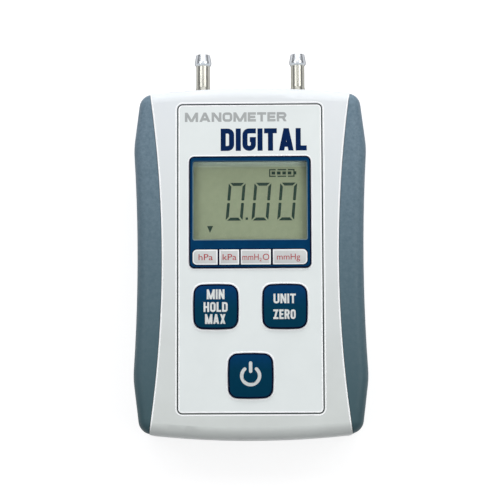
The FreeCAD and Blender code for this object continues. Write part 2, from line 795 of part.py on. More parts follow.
def rear_cover(shell):
    """Make the rear cover, with its battery tub, door rails and screw bosses."""
    body = new_body("rear_cover_body", base=shell)
    hollow = sketch_on(body, "XY_Plane", "rear_wall + grip_thickness + cavity_round")
    hollow_outline(hollow)
    pocket(body, hollow, "grip_thickness + cavity_round")
    lip = sketch_on(body, "XY_Plane", PARTING)
    lip_outline(lip, "lip_inset")
    lip_outline(lip, "(lip_inset + lip_thickness)")
    pad(body, lip, "lip_height")
    shadow = sketch_on(body, "XY_Plane", PARTING)
    rectangle(shadow, "case_length", "case_length*1.5")
    case_outline(shadow, "shadow_depth", "shadow_depth", "(corner_radius - shadow_depth)")
    pocket(body, shadow, "shadow_height")
    boss = sketch_on(body, "XY_Plane", "rear_wall/2")
    at_case_screws(boss, "rear_boss_radius")
    pad(body, boss, f"{PARTING} - rear_wall/2")
    counterbore = sketch_on(body, "XY_Plane", "0")
    at_case_screws(counterbore, "screw_head + screw_clearance")
    pocket(body, counterbore, SCREW_SEAT, along_normal=True)
    passage = sketch_on(body, "XY_Plane", "0")
    at_case_screws(passage, "screw_radius + screw_clearance")
    pocket(body, passage, f"{PARTING} + screw_ledge", along_normal=True)
    rails = sketch_on(body, "XY_Plane", "rear_wall/2")
    rectangle(rails, f"2*({DOOR_HALF_WIDTH} + tongue_width + rail_width)", TUB_OUTER_LENGTH,
              y=TUB_MIDDLE)
    pad(body, rails, "rear_wall/2 + rail_height")
    tub = sketch_on(body, "XY_Plane", "rear_wall")
    rectangle(tub, f"2*({TUB_HALF_WIDTH} + tub_wall)", TUB_OUTER_LENGTH, y=TUB_MIDDLE)
    pad(body, tub, f"{TUB_TOP} - rear_wall")
    room = sketch_on(body, "XY_Plane", "0")
    rectangle(room, f"2*{TUB_HALF_WIDTH}", "cell_length + tub_spare", y=TUB_MIDDLE)
    pocket(body, room, TUB_CEILING, along_normal=True)
    slots = sketch_on(body, "XY_Plane", TUB_TOP)
    for x in (CELL_X, flip(CELL_X)):
        rectangle(slots, "contact_tab_width + 2*contact_slot_gap",
                  "contact_thickness + 2*contact_slot_gap", x,
                  f"{TUB_INNER_TOP} - contact_thickness/2 - contact_slot_gap")
    pocket(body, slots, "tub_wall*1.5")
    channel = sketch_on(body, "XY_Plane", "0")
    door_outline(channel, "door_gap", DOOR_HALF_WIDTH)
    pocket(body, channel, "door_inset + door_thickness + door_gap", along_normal=True)
    groove = sketch_on(body, "XY_Plane", "door_inset + door_thickness + door_gap")
    door_outline(groove, "door_gap", f"({DOOR_HALF_WIDTH} + tongue_width)")
    pocket(body, groove, "tongue_thickness + 2*door_gap")
    publish(body, "rear_cover")


def door_outline(sketch, clearance, half_width):
    """Draw the battery door's strip, which runs out past the case's lower end."""
    side, top = f"({half_width} + {clearance})", f"({DOOR_TOP} + {clearance})"
    polygon(sketch, [(flip(side), "-case_length"), (side, "-case_length"), (side, top),
                     (flip(side), top)])


def battery_door():
    """Make the sliding battery door, with a tongue on each side and thumb grooves."""
    skin = case_form("door_skin", "door_inset")
    strip = new_body("door_strip")
    outline = sketch_on(strip, "XY_Plane", "0")
    door_outline(outline, "0", DOOR_HALF_WIDTH)
    pad(strip, outline, "door_inset + door_thickness")
    wings = sketch_on(strip, "XY_Plane", "door_inset + door_thickness - tongue_thickness")
    door_outline(wings, "0", f"({DOOR_HALF_WIDTH} + tongue_width)")
    pad(strip, wings, "tongue_thickness")
    panel = combine("Common", "door_panel", strip, skin)
    body = new_body("battery_door_body", base=panel)
    groove = sketch_on(body, "XY_Plane", "0")
    rectangle(groove, "thumb_groove_width", "thumb_groove_length", y=f"({DOOR_TOP} - thumb_groove_drop)")
    first = pocket(body, groove, "door_inset + thumb_groove_depth", along_normal=True)
    pattern = body.newObject("PartDesign::LinearPattern", "Grooves")
    pattern.Originals = [first]
    pattern.Direction = (groove, ["V_Axis"])
    pattern.Reversed = True
    pattern.Occurrences = 4
    bind(pattern, "Length", "3*thumb_groove_step")
    body.Tip = pattern
    doc.recompute()
    publish(body, "battery_door")


def front_label():
    """Make the thin label that covers the middle of the front."""
    body = new_body("front_label_body")
    outline = sketch_on(body, "XY_Plane", "case_depth - label_recess")
    rounded_rectangle(outline, "label_width", LABEL_LENGTH, "label_corner", y=LABEL_Y)
    mask_opening(outline)
    at_keys(outline, "key_gap")
    pad(body, outline, "label_thickness")
    publish(body, "front_label")


def display_window():
    """Make the moulded mask that frames the display and the clear window under it."""
    mask = new_body("display_mask_body")
    ring = sketch_on(mask, "XY_Plane", MASK_SEAT)
    rounded_rectangle(ring, MASK_WIDTH, MASK_LENGTH, "mask_corner", y=MASK_Y)
    pad(mask, ring, f"{MASK_TOP} - {MASK_SEAT}")
    round_edges(mask, edges_at(mask.Shape, MASK_TOP), "mask_round")
    opening = sketch_on(mask, "XY_Plane", MASK_TOP)
    rounded_rectangle(opening, "view_width", "view_length", "view_corner", y="view_place")
    pocket(mask, opening, f"{MASK_TOP} - {MASK_SEAT}")
    inner = [name for name in edges_at(mask.Shape, MASK_TOP) if round_the_view(mask.Shape, name)]
    round_edges(mask, inner, "mask_edge_round")
    publish(mask, "display_mask")
    lens = new_body("display_window_body")
    plate = sketch_on(lens, "XY_Plane", f"{MASK_SEAT} - window_thickness")
    rounded_rectangle(plate, "view_width + 2*(view_spare - window_fit)",
                      "view_length + 2*(view_spare - window_fit)", "view_corner", y="view_place")
    pad(lens, plate, "window_thickness")
    publish(lens, "display_window")


def round_the_view(shape, name):
    """Tell whether an edge lies on the outline of the display's opening."""
    box = shape.getElement(name).BoundBox
    across, up = value("view_width")/2 + 1e-4, value("view_length")/2 + 1e-4
    middle = value("view_place")
    return box.XMax < across and box.XMin > -across and box.YMax < middle + up and box.YMin > middle - up


def display_cell():
    """Make the display's two glass plates, its reflector, contact strips and holder."""
    glass = new_body("lcd_cell_body", y="view_place", z=LCD_BOTTOM)
    lower = sketch_on(glass, "XY_Plane")
    rectangle(lower, LCD_WIDTH, LCD_LENGTH)
    pad(glass, lower, "cell_glass")
    upper = sketch_on(glass, "XY_Plane", "cell_glass")
    rectangle(upper, LCD_WIDTH, f"{LCD_LENGTH} - 2*lcd_ledge")
    pad(glass, upper, "cell_glass")
    publish(glass, "lcd_cell")
    reflector = new_body("lcd_reflector_body", y="view_place", z=f"{LCD_BOTTOM} - reflector_thickness")
    sheet_outline = sketch_on(reflector, "XY_Plane")
    rectangle(sheet_outline, REFLECTOR_WIDTH, REFLECTOR_LENGTH)
    pad(reflector, sheet_outline, "reflector_thickness")
    publish(reflector, "lcd_reflector")
    strip_place = f"(({LCD_LENGTH} - lcd_ledge)/2)"
    for label, sign in (("upper_contact_strip", "+"), ("lower_contact_strip", "-")):
        strip = block(f"{label}_block",
                      (ZEBRA_WIDTH, "zebra_thickness", f"{LCD_BOTTOM} - {BOARD_TOP}"),
                      (f"-{ZEBRA_WIDTH}/2", f"view_place {sign} {strip_place} - zebra_thickness/2",
                       BOARD_TOP))
        publish(strip, label)
    holder = new_body("lcd_frame_body", y="view_place")
    outline = sketch_on(holder, "XY_Plane", BOARD_TOP)
    rectangle(outline, f"{LCD_WIDTH} + 2*(lcd_fit + lcd_frame_wall)",
              f"{LCD_LENGTH} + 2*(lcd_fit + lcd_frame_wall)")
    pad(holder, outline, f"{FRONT_INSIDE} - lcd_frame_gap - {BOARD_TOP}")
    seat = sketch_on(holder, "XY_Plane", FRONT_INSIDE)
    rectangle(seat, f"{LCD_WIDTH} + 2*lcd_fit", f"{LCD_LENGTH} + 2*lcd_fit")
    pocket(holder, seat, f"{FRONT_INSIDE} - {LCD_BOTTOM}")
    opening = sketch_on(holder, "XY_Plane", FRONT_INSIDE)
    rectangle(opening, f"{REFLECTOR_WIDTH} + 2*lcd_fit", f"{REFLECTOR_LENGTH} + 2*lcd_fit")
    for sign in ("", "-"):
        rectangle(opening, f"{ZEBRA_WIDTH} + 2*zebra_fit", "zebra_thickness + 2*zebra_fit",
                  y=f"{sign}{strip_place}")
    pocket(holder, opening, FRONT_INSIDE)
    publish(holder, "lcd_frame")


def key(label, x, y):
    """Make one key: a flange behind the cover and a cap that stands through it."""
    body = new_body(f"{label}_body", x, y)
    flange = sketch_on(body, "XY_Plane", FLANGE_BOTTOM)
    key_outline(flange, "key_flange")
    pad(body, flange, "key_flange_thickness")
    cap = sketch_on(body, "XY_Plane", FLANGE_TOP)
    key_outline(cap, "0")
    pad(body, cap, f"{KEY_TOP} - {FLANGE_TOP}")
    above = sketch_on(body, "XZ_Plane")
    crown_waste(above)
    grow(body, "Groove", above, ReferenceAxis=(above, ["V_Axis"]), Angle=360.0)
    rim = [f"Edge{index}" for index, edge in enumerate(body.Shape.Edges, start=1)
           if value("case_depth") < edge.BoundBox.ZMin and edge.BoundBox.ZMax < value(KEY_TOP) - 0.05]
    round_edges(body, rim, "key_round")
    publish(body, label)


def crown_waste(sketch):
    """Draw half of what is cut away above a key's crowned top, beside the key's axis."""
    top, radius, reach = value(KEY_TOP), value("key_crown_radius"), value("key_width")
    lean = math.asin(reach / radius)
    centre = Vector(0, top - radius, 0)
    bow = arc(centre, radius, math.pi / 2 - lean, math.pi / 2)
    ceiling = top + value("key_rise")
    outer, inner = Vector(reach, ceiling, 0), Vector(0, ceiling, 0)
    sketch.addGeometry([bow, Part.LineSegment(bow.EndPoint, inner), Part.LineSegment(inner, outer),
                        Part.LineSegment(outer, bow.StartPoint)], False)
    for index in range(4):
        sketch.addConstraint(Sketcher.Constraint("Coincident", index, 2, (index + 1) % 4, 1))
    hold_point(sketch, 0, 3, "0", f"{KEY_TOP} - key_crown_radius")
    hold_point(sketch, 0, 2, "0", KEY_TOP)
    hold_point(sketch, 2, 1, "0", f"{KEY_TOP} + key_rise")
    hold_point(sketch, 2, 2, "key_width", f"{KEY_TOP} + key_rise")
    sketch.addConstraint(Sketcher.Constraint("Vertical", 3))


def key_switch(label, x, y):
    """Make the switch under a key: its base on the board and the plunger in it."""
    base = new_body(f"{label}_switch_body", x, y)
    outline = sketch_on(base, "XY_Plane", BOARD_TOP)
    rectangle(outline, "switch_width", "switch_width")
    pad(base, outline, f"{SWITCH_TOP} - {BOARD_TOP}")
    bore = sketch_on(base, "XY_Plane", SWITCH_TOP)
    circle(bore, "plunger_radius + plunger_gap")
    pocket(base, bore, f"{SWITCH_TOP} - {BOARD_TOP} - switch_floor")
    publish(base, f"{label}_switch")
    stem = new_body(f"{label}_plunger_body", x, y)
    foot = f"({BOARD_TOP} + switch_floor + plunger_room)"
    profile = sketch_on(stem, "XY_Plane", foot)
    circle(profile, "plunger_radius")
    pad(stem, profile, f"{FLANGE_BOTTOM} - {foot}")
    publish(stem, f"{label}_plunger")


def circuit_board():
    """Make the circuit board, narrowed between the case screws' bosses."""
    body = new_body("circuit_board_body")
    inner = BOARD_NECK
    notch = f"({SCREW_Y} - rear_boss_radius - boss_clearance)"
    top = f"({NUT_FACE} - nut_thickness - board_port_clearance)"
    bottom = "(case_length/2 - end_wall - board_end_clearance)"
    side = BOARD_SIDE
    outline = sketch_on(body, "XY_Plane", BOARD_BOTTOM)
    polygon(outline, [(inner, flip(bottom)), (inner, flip(notch)), (side, flip(notch)),
                      (side, notch), (inner, notch), (inner, top),
                      (flip(inner), top), (flip(inner), notch), (flip(side), notch),
                      (flip(side), flip(notch)), (flip(inner), flip(notch)),
                      (flip(inner), flip(bottom))])
    pad(body, outline, "board_thickness")
    holes = sketch_on(body, "XY_Plane", BOARD_TOP)
    at_board_screws(holes, "board_screw_radius + screw_clearance")
    pocket(body, holes, "board_thickness*2")
    publish(body, "circuit_board")


def small_parts(label, x, count=1, behind=False):
    """Make one kind of chip or small part, in a column down the board if there are several."""
    width, length, height = f"{label}_width", f"{label}_length", f"{label}_height"
    level = f"{BOARD_BOTTOM} - {height}" if behind else BOARD_TOP
    boxes = []
    for index in range(count):
        step = f" - {index}*{label}_pitch" if index else ""
        corner = (f"{x} - {width}/2", f"{label}_y - {length}/2{step}", level)
        boxes.append(block(f"{label}_{index}", (width, length, height), corner))
    return boxes[0] if count == 1 else gather(f"{label}_group", boxes)


def chips():
    """Make the board's chips and small parts, each kind in one node."""
    processor_x = f"(processor_side_inset - {BOARD_SIDE})"
    converter_x = f"(converter_side_inset - {BOARD_SIDE})"
    publish(small_parts("processor", processor_x), "processor_chip")
    publish(small_parts("converter", converter_x, behind=True), "converter_chip")
    publish(small_parts("crystal", "crystal_x"), "crystal")
    publish(small_parts("capacitor", "capacitor_x", count=3), "capacitors")
    publish(small_parts("resistor", "resistor_x", count=4), "resistors")


def screw(name, radius, length, head, head_height, x, y, seat):
    """Make one screw, head down, with a cross recess in its head."""
    body = new_body(name, x, y, seat)
    cap = sketch_on(body, "XY_Plane", f"-{head_height}")
    circle(cap, head)
    pad(body, cap, head_height)
    shank = sketch_on(body, "XY_Plane")
    circle(shank, radius)
    pad(body, shank, length)
    cross = sketch_on(body, "XY_Plane", f"-{head_height}")
    arm, slot = f"({head}*cross_reach_share)", f"({head}*cross_width_share)"
    polygon(cross, [(slot, slot), (slot, arm), (flip(slot), arm), (flip(slot), slot),
                    (flip(arm), slot), (flip(arm), flip(slot)), (flip(slot), flip(slot)),
                    (flip(slot), flip(arm)), (slot, flip(arm)), (slot, flip(slot)),
                    (arm, flip(slot)), (arm, slot)])
    pocket(body, cross, f"{head_height}/2", along_normal=True)
    return body


def screws():
    """Make the four case screws and the four board screws."""
    corner = screw("case_screw", "screw_radius", "screw_length", "screw_head",
                   "screw_head_height", SCREW_X, SCREW_Y, SCREW_SEAT)
    upper_left = mirror(corner, "upper_left_screw")
    lower_right = mirror(corner, "lower_right_screw", Vector(0, 1, 0))
    lower_left = mirror(upper_left, "lower_left_screw", Vector(0, 1, 0))
    publish(gather("case_screw_set", [corner, upper_left, lower_right, lower_left]), "case_screws")
    small = []
    for row, (x, y) in zip(("upper", "lower"), BOARD_SCREWS):
        right = screw(f"{row}_board_screw", "board_screw_radius", "board_screw_length",
                      "board_screw_head", "board_screw_head_height", x, y, BOARD_BOTTOM)
        small += [right, mirror(right, f"{row}_left_board_screw")]
    publish(gather("board_screw_set", small), "board_screws")


def port(side, x):
    """Make one hollow pressure port with the seal, nut and tube that go with it."""
    fitting = new_body(f"{side}_port_body", x, z=PORT_HEIGHT)
    profile = sketch_on(fitting, "YZ_Plane")
    seat = PORT_SEAT
    polygon(profile, [
        (PORT_TIP, "port_bore_radius"),
        (PORT_TIP, "barb_tip_radius"),
        (f"{PORT_TIP} - barb_slope", "barb_radius"),
        (f"{PORT_TIP} - barb_slope - barb_land", "barb_radius"),
        (f"{PORT_TIP} - barb_slope - barb_land - barb_back", "shank_radius"),
        (f"{PORT_FACE} + flare_length", "shank_radius"),
        (PORT_FACE, "flare_radius"),
        (f"{seat} + port_flange_thickness", "flare_radius"),
        (f"{seat} + port_flange_thickness", "port_flange_radius"),
        (seat, "port_flange_radius"),
        (seat, "port_thread_radius"),
        (THREAD_END, "port_thread_radius"),
        (THREAD_END, "tail_radius"),
        (TAIL_END, "tail_radius"),
        (TAIL_END, "port_bore_radius"),
    ])
    revolve(fitting, profile)
    publish(fitting, f"{side}_port")

    seal = new_body(f"{side}_seal_body", x, z=PORT_HEIGHT)
    ring = sketch_on(seal, "XZ_Plane", flip(PORT_BOSS_FACE))
    circle(ring, "seal_radius")
    circle(ring, "port_thread_radius + screw_fit")
    pad(seal, ring, "seal_thickness")
    publish(seal, f"{side}_port_seal")

    nut = new_body(f"{side}_nut_body", x, z=PORT_HEIGHT)
    hexagon = sketch_on(nut, "XZ_Plane", flip(NUT_FACE))
    flat, point = "nut_width/2", "nut_width/sqrt(3)"
    polygon(hexagon, [(flat, f"{point}/2"), ("0", point), (flip(flat), f"{point}/2"),
                      (flip(flat), f"-{point}/2"), ("0", f"-{point}"), (flat, f"-{point}/2")])
    circle(hexagon, "port_thread_radius + screw_fit")
    pad(nut, hexagon, "nut_thickness")
    publish(nut, f"{side}_port_nut")


def right_tube():
    """Make the silicone tube that swings from a port's tail to the sensor's port."""
    body = new_body("sensor_tube_body", z=PORT_HEIGHT)
    start, leave = f"({THREAD_END} - tube_end_gap)", TAIL_END
    arrive, end = SENSOR_PORT_END, f"({SENSOR_FACE} + tube_end_gap)"
    far, near = value("port_x"), value("sensor_port_x")
    drop, shift = value(leave) - value(arrive), far - near
    radius = (drop**2 + shift**2) / (4 * shift)
    turn = math.asin(drop / 2 / radius)
    path = sketch_on(body, "XY_Plane")
    tangent_loop(path, [
        (Part.LineSegment(Vector(far, value(start), 0), Vector(far, value(leave), 0)), 1, 2),
        (arc(Vector(far - radius, value(leave), 0), radius, -turn, 0), 2, 1),
        (arc(Vector(near + radius, value(arrive), 0), radius, math.pi - turn, math.pi), 1, 2),
        (Part.LineSegment(Vector(near, value(arrive), 0), Vector(near, value(end), 0)), 1, 2),
    ], closed=False)
    hold_point(path, 0, 1, "port_x", start)
    hold_point(path, 0, 2, "port_x", leave)
    hold_point(path, 3, 1, "sensor_port_x", arrive)
    hold_point(path, 3, 2, "sensor_port_x", end)
    path.addConstraint(Sketcher.Constraint("Equal", 1, 2))
    ring = sketch_on(body, "XZ_Plane", flip(start))
    circle(ring, "tail_radius + tube_fit", "port_x")
    circle(ring, "tail_radius + tube_fit + tube_wall", "port_x")
    doc.recompute()
    pipe = body.newObject("PartDesign::AdditivePipe", "Tube")
    pipe.Profile = ring
    pipe.Spine = (path, [f"Edge{index}" for index in range(1, 5)])
    doc.recompute()
    publish(body, "right_sensor_tube")
    publish(mirror(body, "left_tube_mirror"), "left_sensor_tube")


def pressure_sensor():
    """Make the pressure sensor on the rear of the board, with its two ports."""
    body = new_body("pressure_sensor_body")
    case = sketch_on(body, "XY_Plane", f"{BOARD_BOTTOM} - sensor_height")
    rectangle(case, "sensor_width", "sensor_length", y=SENSOR_Y)
    pad(body, case, "sensor_height")
    ports = sketch_on(body, "XZ_Plane", flip(SENSOR_FACE))
    for x in ("sensor_port_x", "-sensor_port_x"):
        circle(ports, "tail_radius", x, PORT_HEIGHT)
    pad(body, ports, "sensor_port_length", backwards=True)
    publish(body, "pressure_sensor")


def battery_cell(label, x, facing):
    """Make one battery cell; facing is 1 with its nub up the case and -1 with it down."""
    gap = "contact_thickness"
    lower = f"({TUB_BOTTOM} + {gap})" if facing < 0 else f"({TUB_INNER_TOP} - {gap} - cell_length)"
    flat_end = f"({lower} + cell_length)" if facing < 0 else lower
    sign = "-" if facing < 0 else "+"
    body = new_body(label + "_body", x, flat_end, CELL_AXIS)
    profile = sketch_on(body, "YZ_Plane")
    shoulder = f"{sign}(cell_length - cell_nub_length)"
    polygon(profile, [("0", "0"), ("0", "cell_radius - cell_round"),
                      (f"{sign}cell_round", "cell_radius"),
                      (f"{sign}(cell_length - cell_nub_length - cell_round)", "cell_radius"),
                      (shoulder, "cell_radius - cell_round"), (shoulder, "cell_nub_radius"),
                      (f"{sign}cell_length", "cell_nub_radius"), (f"{sign}cell_length", "0")])
    revolve(body, profile)
    publish(body, label)


def contact_plate(body, level, backwards):
    """Draw and raise a contact's flat plate from a level along the case."""
    plate = sketch_on(body, "XZ_Plane", flip(level))
    rectangle(plate, "contact_width", "contact_width", y=CELL_AXIS)
    pad(body, plate, "contact_thickness", backwards)


def contact_cone(body, level, x, backwards):
    """Raise the stamped spring cone that presses on a cell's flat end."""
    cone = sketch_on(body, "XZ_Plane", flip(level))
    circle(cone, "contact_cone_radius", x, CELL_AXIS)
    pad(body, cone, "tub_spare - 2*contact_thickness", backwards,
        TaperAngle=value("contact_cone_lean"))


def contacts():
    """Make the battery contacts: two with tabs up to the board, and the bridge."""
    for label, x in (("positive_contact", flip(CELL_X)), ("negative_contact", CELL_X)):
        body = new_body(f"{label}_body", x)
        contact_plate(body, TUB_INNER_TOP, backwards=False)
        tab = sketch_on(body, "XZ_Plane", flip(TUB_INNER_TOP))
        rectangle(tab, "contact_tab_width", f"{BOARD_BOTTOM} - {CELL_AXIS}",
                  y=f"({BOARD_BOTTOM} + {CELL_AXIS})/2")
        pad(body, tab, "contact_thickness")
        if label == "negative_contact":
            contact_cone(body, f"({TUB_INNER_TOP} - contact_thickness)", "0", backwards=False)
        publish(body, label)
    bridge = new_body("bridge_contact_body")
    plate = sketch_on(bridge, "XZ_Plane", flip(TUB_BOTTOM))
    rectangle(plate, f"2*{CELL_X} + contact_width", "contact_width", y=CELL_AXIS)
    pad(bridge, plate, "contact_thickness", backwards=True)
    contact_cone(bridge, f"({TUB_BOTTOM} + contact_thickness)", flip(CELL_X), backwards=True)
    publish(bridge, "bridge_contact")


def check_and_write():
    """Stop on any failed object, then write each sub-part to its own file."""
    doc.recompute()
    for item in doc.Objects:
        if "Invalid" in item.State or "Error" in item.State:
            raise RuntimeError(f"{item.Label} failed: {item.State}")
    os.makedirs("parts", exist_ok=True)
    for item in nodes:
        if item.Shape.isNull() or not item.Shape.isValid() or not item.Shape.Solids:
            raise RuntimeError(f"{item.Label} has no valid solid")
        item.Shape.exportStep(f"parts/{item.Label}.step")
        box = item.Shape.BoundBox
        print(f"{item.Label}: {len(item.Shape.Solids)} solids, {item.Shape.Volume:.1f} mm3, "
              f"x {box.XMin:.2f} {box.XMax:.2f} y {box.YMin:.2f} {box.YMax:.2f} "
              f"z {box.ZMin:.2f} {box.ZMax:.2f}")


KEYS = (("left_key", "-key_spread", "upper_key_place"),
        ("right_key", "key_spread", "upper_key_place"),
        ("power_key", "0", POWER_KEY_Y))

grip_seat = case_form("grip_seat", "grip_thickness")
front_shell, rear_shell = case_halves(grip_seat)
front_cover(front_shell)
rear_cover(rear_shell)
grips(grip_seat)
battery_door()
front_label()
display_window()
display_cell()
for key_label, key_x, key_y in KEYS:
    key(key_label, key_x, key_y)
    key_switch(key_label, key_x, key_y)
circuit_board()
chips()
screws()
port("right", "port_x")
port("left", "-port_x")
right_tube()
pressure_sensor()
battery_cell("left_battery_cell", flip(CELL_X), 1)
battery_cell("right_battery_cell", CELL_X, -1)
contacts()
check_and_write()
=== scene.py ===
"""Looks of a handheld digital manometer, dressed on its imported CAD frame.

The meter lies on its back in the CAD frame, in metres: X runs across the case, Y towards the
hose ports and Z out of the display. The CAD nodes keep their meshes and get their finishes here.
Printing, display segments, unit plates and fine trim are new meshes that sit on those nodes.
"""

import json
import logging
import math
from dataclasses import dataclass
from enum import Enum
from functools import cache
from typing import Callable, Sequence

import bpy
import numpy as np
from mathutils import Matrix, Vector
from mathutils.geometry import delaunay_2d_cdt

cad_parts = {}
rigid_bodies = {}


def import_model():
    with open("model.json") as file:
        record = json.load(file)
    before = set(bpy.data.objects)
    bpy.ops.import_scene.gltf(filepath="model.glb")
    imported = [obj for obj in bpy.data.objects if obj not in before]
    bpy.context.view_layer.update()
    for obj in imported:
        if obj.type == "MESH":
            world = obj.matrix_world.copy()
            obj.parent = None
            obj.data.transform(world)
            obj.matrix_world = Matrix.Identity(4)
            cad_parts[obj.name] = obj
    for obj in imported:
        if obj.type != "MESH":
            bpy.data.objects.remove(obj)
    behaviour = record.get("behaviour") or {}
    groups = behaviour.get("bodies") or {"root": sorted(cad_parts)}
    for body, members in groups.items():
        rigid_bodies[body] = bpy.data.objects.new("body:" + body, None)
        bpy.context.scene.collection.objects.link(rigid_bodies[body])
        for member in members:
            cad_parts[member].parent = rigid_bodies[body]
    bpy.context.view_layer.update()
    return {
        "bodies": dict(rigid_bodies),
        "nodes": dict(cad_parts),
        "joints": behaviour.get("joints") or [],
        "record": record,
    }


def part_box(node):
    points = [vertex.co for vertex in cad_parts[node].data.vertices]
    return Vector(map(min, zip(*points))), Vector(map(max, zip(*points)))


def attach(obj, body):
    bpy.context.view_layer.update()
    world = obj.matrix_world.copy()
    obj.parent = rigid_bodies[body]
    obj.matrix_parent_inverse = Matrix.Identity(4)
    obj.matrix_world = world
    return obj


MM = 0.001
SHARP_ANGLE = math.radians(35)
MERGE_DISTANCE = 1e-7
log = logging.getLogger("manometer")

# Points on each kind of curve
DOME_STEPS = 7
CAP_STEPS = 9
BEND_STEPS = 6
EDGE_STEPS = 4
KEY_SIDE_STEPS = 13
KEY_CORNER_STEPS = 9
SEAM_STEPS = 161
POWER_RING_STEPS = 49
POWER_BAR_STEPS = 5
LETTER_STEPS = 4

Array = np.ndarray
Colour = tuple[float, float, float]
Shape = tuple[np.ndarray, list[list[int]]]
Level = Callable[[Array], Array]
Socket = bpy.types.NodeSocket


# Colours and finishes


def paint(red: int, green: int, blue: int) -> Colour:
    """Turn a colour as a screen shows it into the linear colour that a shader takes.

    Each channel c from 0 to 1 becomes c/12.92 below 0.04045, else ((c + 0.055)/1.055)^2.4.

    Args:
        red: Red from 0 to 255.
        green: Green from 0 to 255.
        blue: Blue from 0 to 255.

    Returns:
        The linear red, green and blue.
    """
    shown = np.array([red, green, blue]) / 255.0
    linear = np.where(shown <= 0.04045, shown / 12.92, ((shown + 0.055) / 1.055) ** 2.4)
    return tuple(float(channel) for channel in linear)


class Grain(Enum):
    """Shared surface effects, each a shader node group."""

    MOULDED = "moulded grain"
    BRUSHED = "drawn streaks"


class Graph:
    """A node tree with short calls to add nodes and join their sockets."""

    def __init__(self, tree: bpy.types.NodeTree) -> None:
        """Start on an empty tree.

        Args:
            tree: The node tree of a material, world or group.
        """
        self.tree = tree
        tree.nodes.clear()

    def put(self, socket: Socket, value: object) -> None:
        """Link a socket to another or give it a value.

        Args:
            socket: The socket to fill.
            value: The other socket, a number, a vector, or a colour without its alpha.
        """
        if isinstance(value, Socket):
            self.tree.links.new(value, socket)
        else:
            socket.default_value = (*value, 1.0) if socket.type == "RGBA" else value

    def fill(self, node: bpy.types.Node, **inputs: object) -> None:
        """Set or link a node's inputs.

        Args:
            node: The node to fill.
            inputs: Values or sockets by input name, with spaces written as underscores.
        """
        for name, value in inputs.items():
            self.put(node.inputs[name.replace("_", " ")], value)

    def add(self, kind: str, **inputs: object) -> bpy.types.Node:
        """Add a node and fill its inputs.

        Args:
            kind: The node's type name without its ShaderNode prefix.
            inputs: Values or sockets by input name, with spaces written as underscores.

        Returns:
            The new node.
        """
        node = self.tree.nodes.new(f"ShaderNode{kind}")
        self.fill(node, **inputs)
        return node

    def join(self, kind: str, *values: object, operation: str = "") -> Socket:
        """Add a node and fill its inputs in their order.

        Args:
            kind: The node's type name without its ShaderNode prefix.
            values: Values or sockets.
            operation: What a Math node does.

        Returns:
            The node's first output.
        """
        node = self.add(kind)
        if operation:
            node.operation = operation
        for socket, value in zip(node.inputs, values):
            self.put(socket, value)
        return node.outputs[0]

    def blend(self, factor: Socket, first: object, second: object) -> Socket:
        """Mix two colours by a factor.

        Args:
            factor: The socket that says how much of the second colour shows.
            first: A colour or socket.
            second: A colour or socket.

        Returns:
            The mixed colour's socket.
        """
        node = self.add("Mix")
        node.data_type = "RGBA"
        for index, value in ((0, factor), (6, first), (7, second)):
            self.put(node.inputs[index], value)
        return node.outputs[2]


def new_material(name: str) -> tuple[bpy.types.Material, Graph]:
    """Start a material, and return it with its empty graph."""
    made = bpy.data.materials.new(name)
    made.use_nodes = True
    return made, Graph(made.node_tree)


def shader_group(name: str, inputs: dict[str, str],
                 outputs: dict[str, str]) -> tuple[Graph, bpy.types.Node, bpy.types.Node]:
    """Start a shader node group with named sockets.

    Args:
        name: The group's name.
        inputs: Kind of each input, by its name.
        outputs: Kind of each output, by its name.

    Returns:
        The group's graph, its input node and its output node.
    """
    tree = bpy.data.node_groups.new(name, "ShaderNodeTree")
    graph = Graph(tree)
    for way, sockets in (("INPUT", inputs), ("OUTPUT", outputs)):
        for label, kind in sockets.items():
            tree.interface.new_socket(name=label, in_out=way, socket_type=f"NodeSocket{kind}")
    return graph, tree.nodes.new("NodeGroupInput"), tree.nodes.new("NodeGroupOutput")


@cache
def grain_group(kind: Grain) -> bpy.types.NodeTree:
    """Build one of the shared grains.

    Both add a fine noise and a coarser one. Drawn streaks are the same noises on coordinates
    drawn out eight times along Y.

    Args:
        kind: Which grain to build.

    Returns:
        A group with a Height and a Mask from 0 to 1.
    """
    graph, given, result = shader_group(kind.value, {"Vector": "Vector", "Scale": "Float"},
                                        {"Height": "Float", "Mask": "Float"})
    place, scale = given.outputs["Vector"], given.outputs["Scale"]
    if kind is Grain.BRUSHED:
        place = graph.add("Mapping", Vector=place, Scale=(1.0, 0.125, 1.0)).outputs[0]
    wider = graph.join("Math", scale, 0.22, operation="MULTIPLY")
    fine = graph.add("TexNoise", Vector=place, Scale=scale, Detail=2.0).outputs[0]
    coarse = graph.add("TexNoise", Vector=place, Scale=wider, Detail=3.0).outputs[0]
    height = graph.join("Math", graph.join("Math", fine, 0.7, operation="MULTIPLY"),
                        graph.join("Math", coarse, 0.3, operation="MULTIPLY"), operation="ADD")
    mask = graph.add("MapRange", Value=coarse, From_Min=0.35, From_Max=0.65)
    graph.fill(result, Height=height, Mask=mask.outputs[0])
    return graph.tree


def grained(graph: Graph, place: Socket, kind: Grain, scale: float,
            rough: tuple[float, float]) -> tuple[Socket, Socket]:
    """Add a grain to a material.

    Args:
        graph: The material's graph.
        place: The object coordinates.
        kind: Which shared grain it is.
        scale: Grains per metre.
        rough: Lowest and highest roughness.

    Returns:
        The sockets of the grain's height and of the roughness.
    """
    texture = graph.add("Group")
    texture.node_tree = grain_group(kind)
    graph.fill(texture, Vector=place, Scale=scale)
    spread = graph.add("MapRange", Value=texture.outputs["Mask"], To_Min=rough[0],
                       To_Max=rough[1])
    return texture.outputs["Height"], spread.outputs[0]


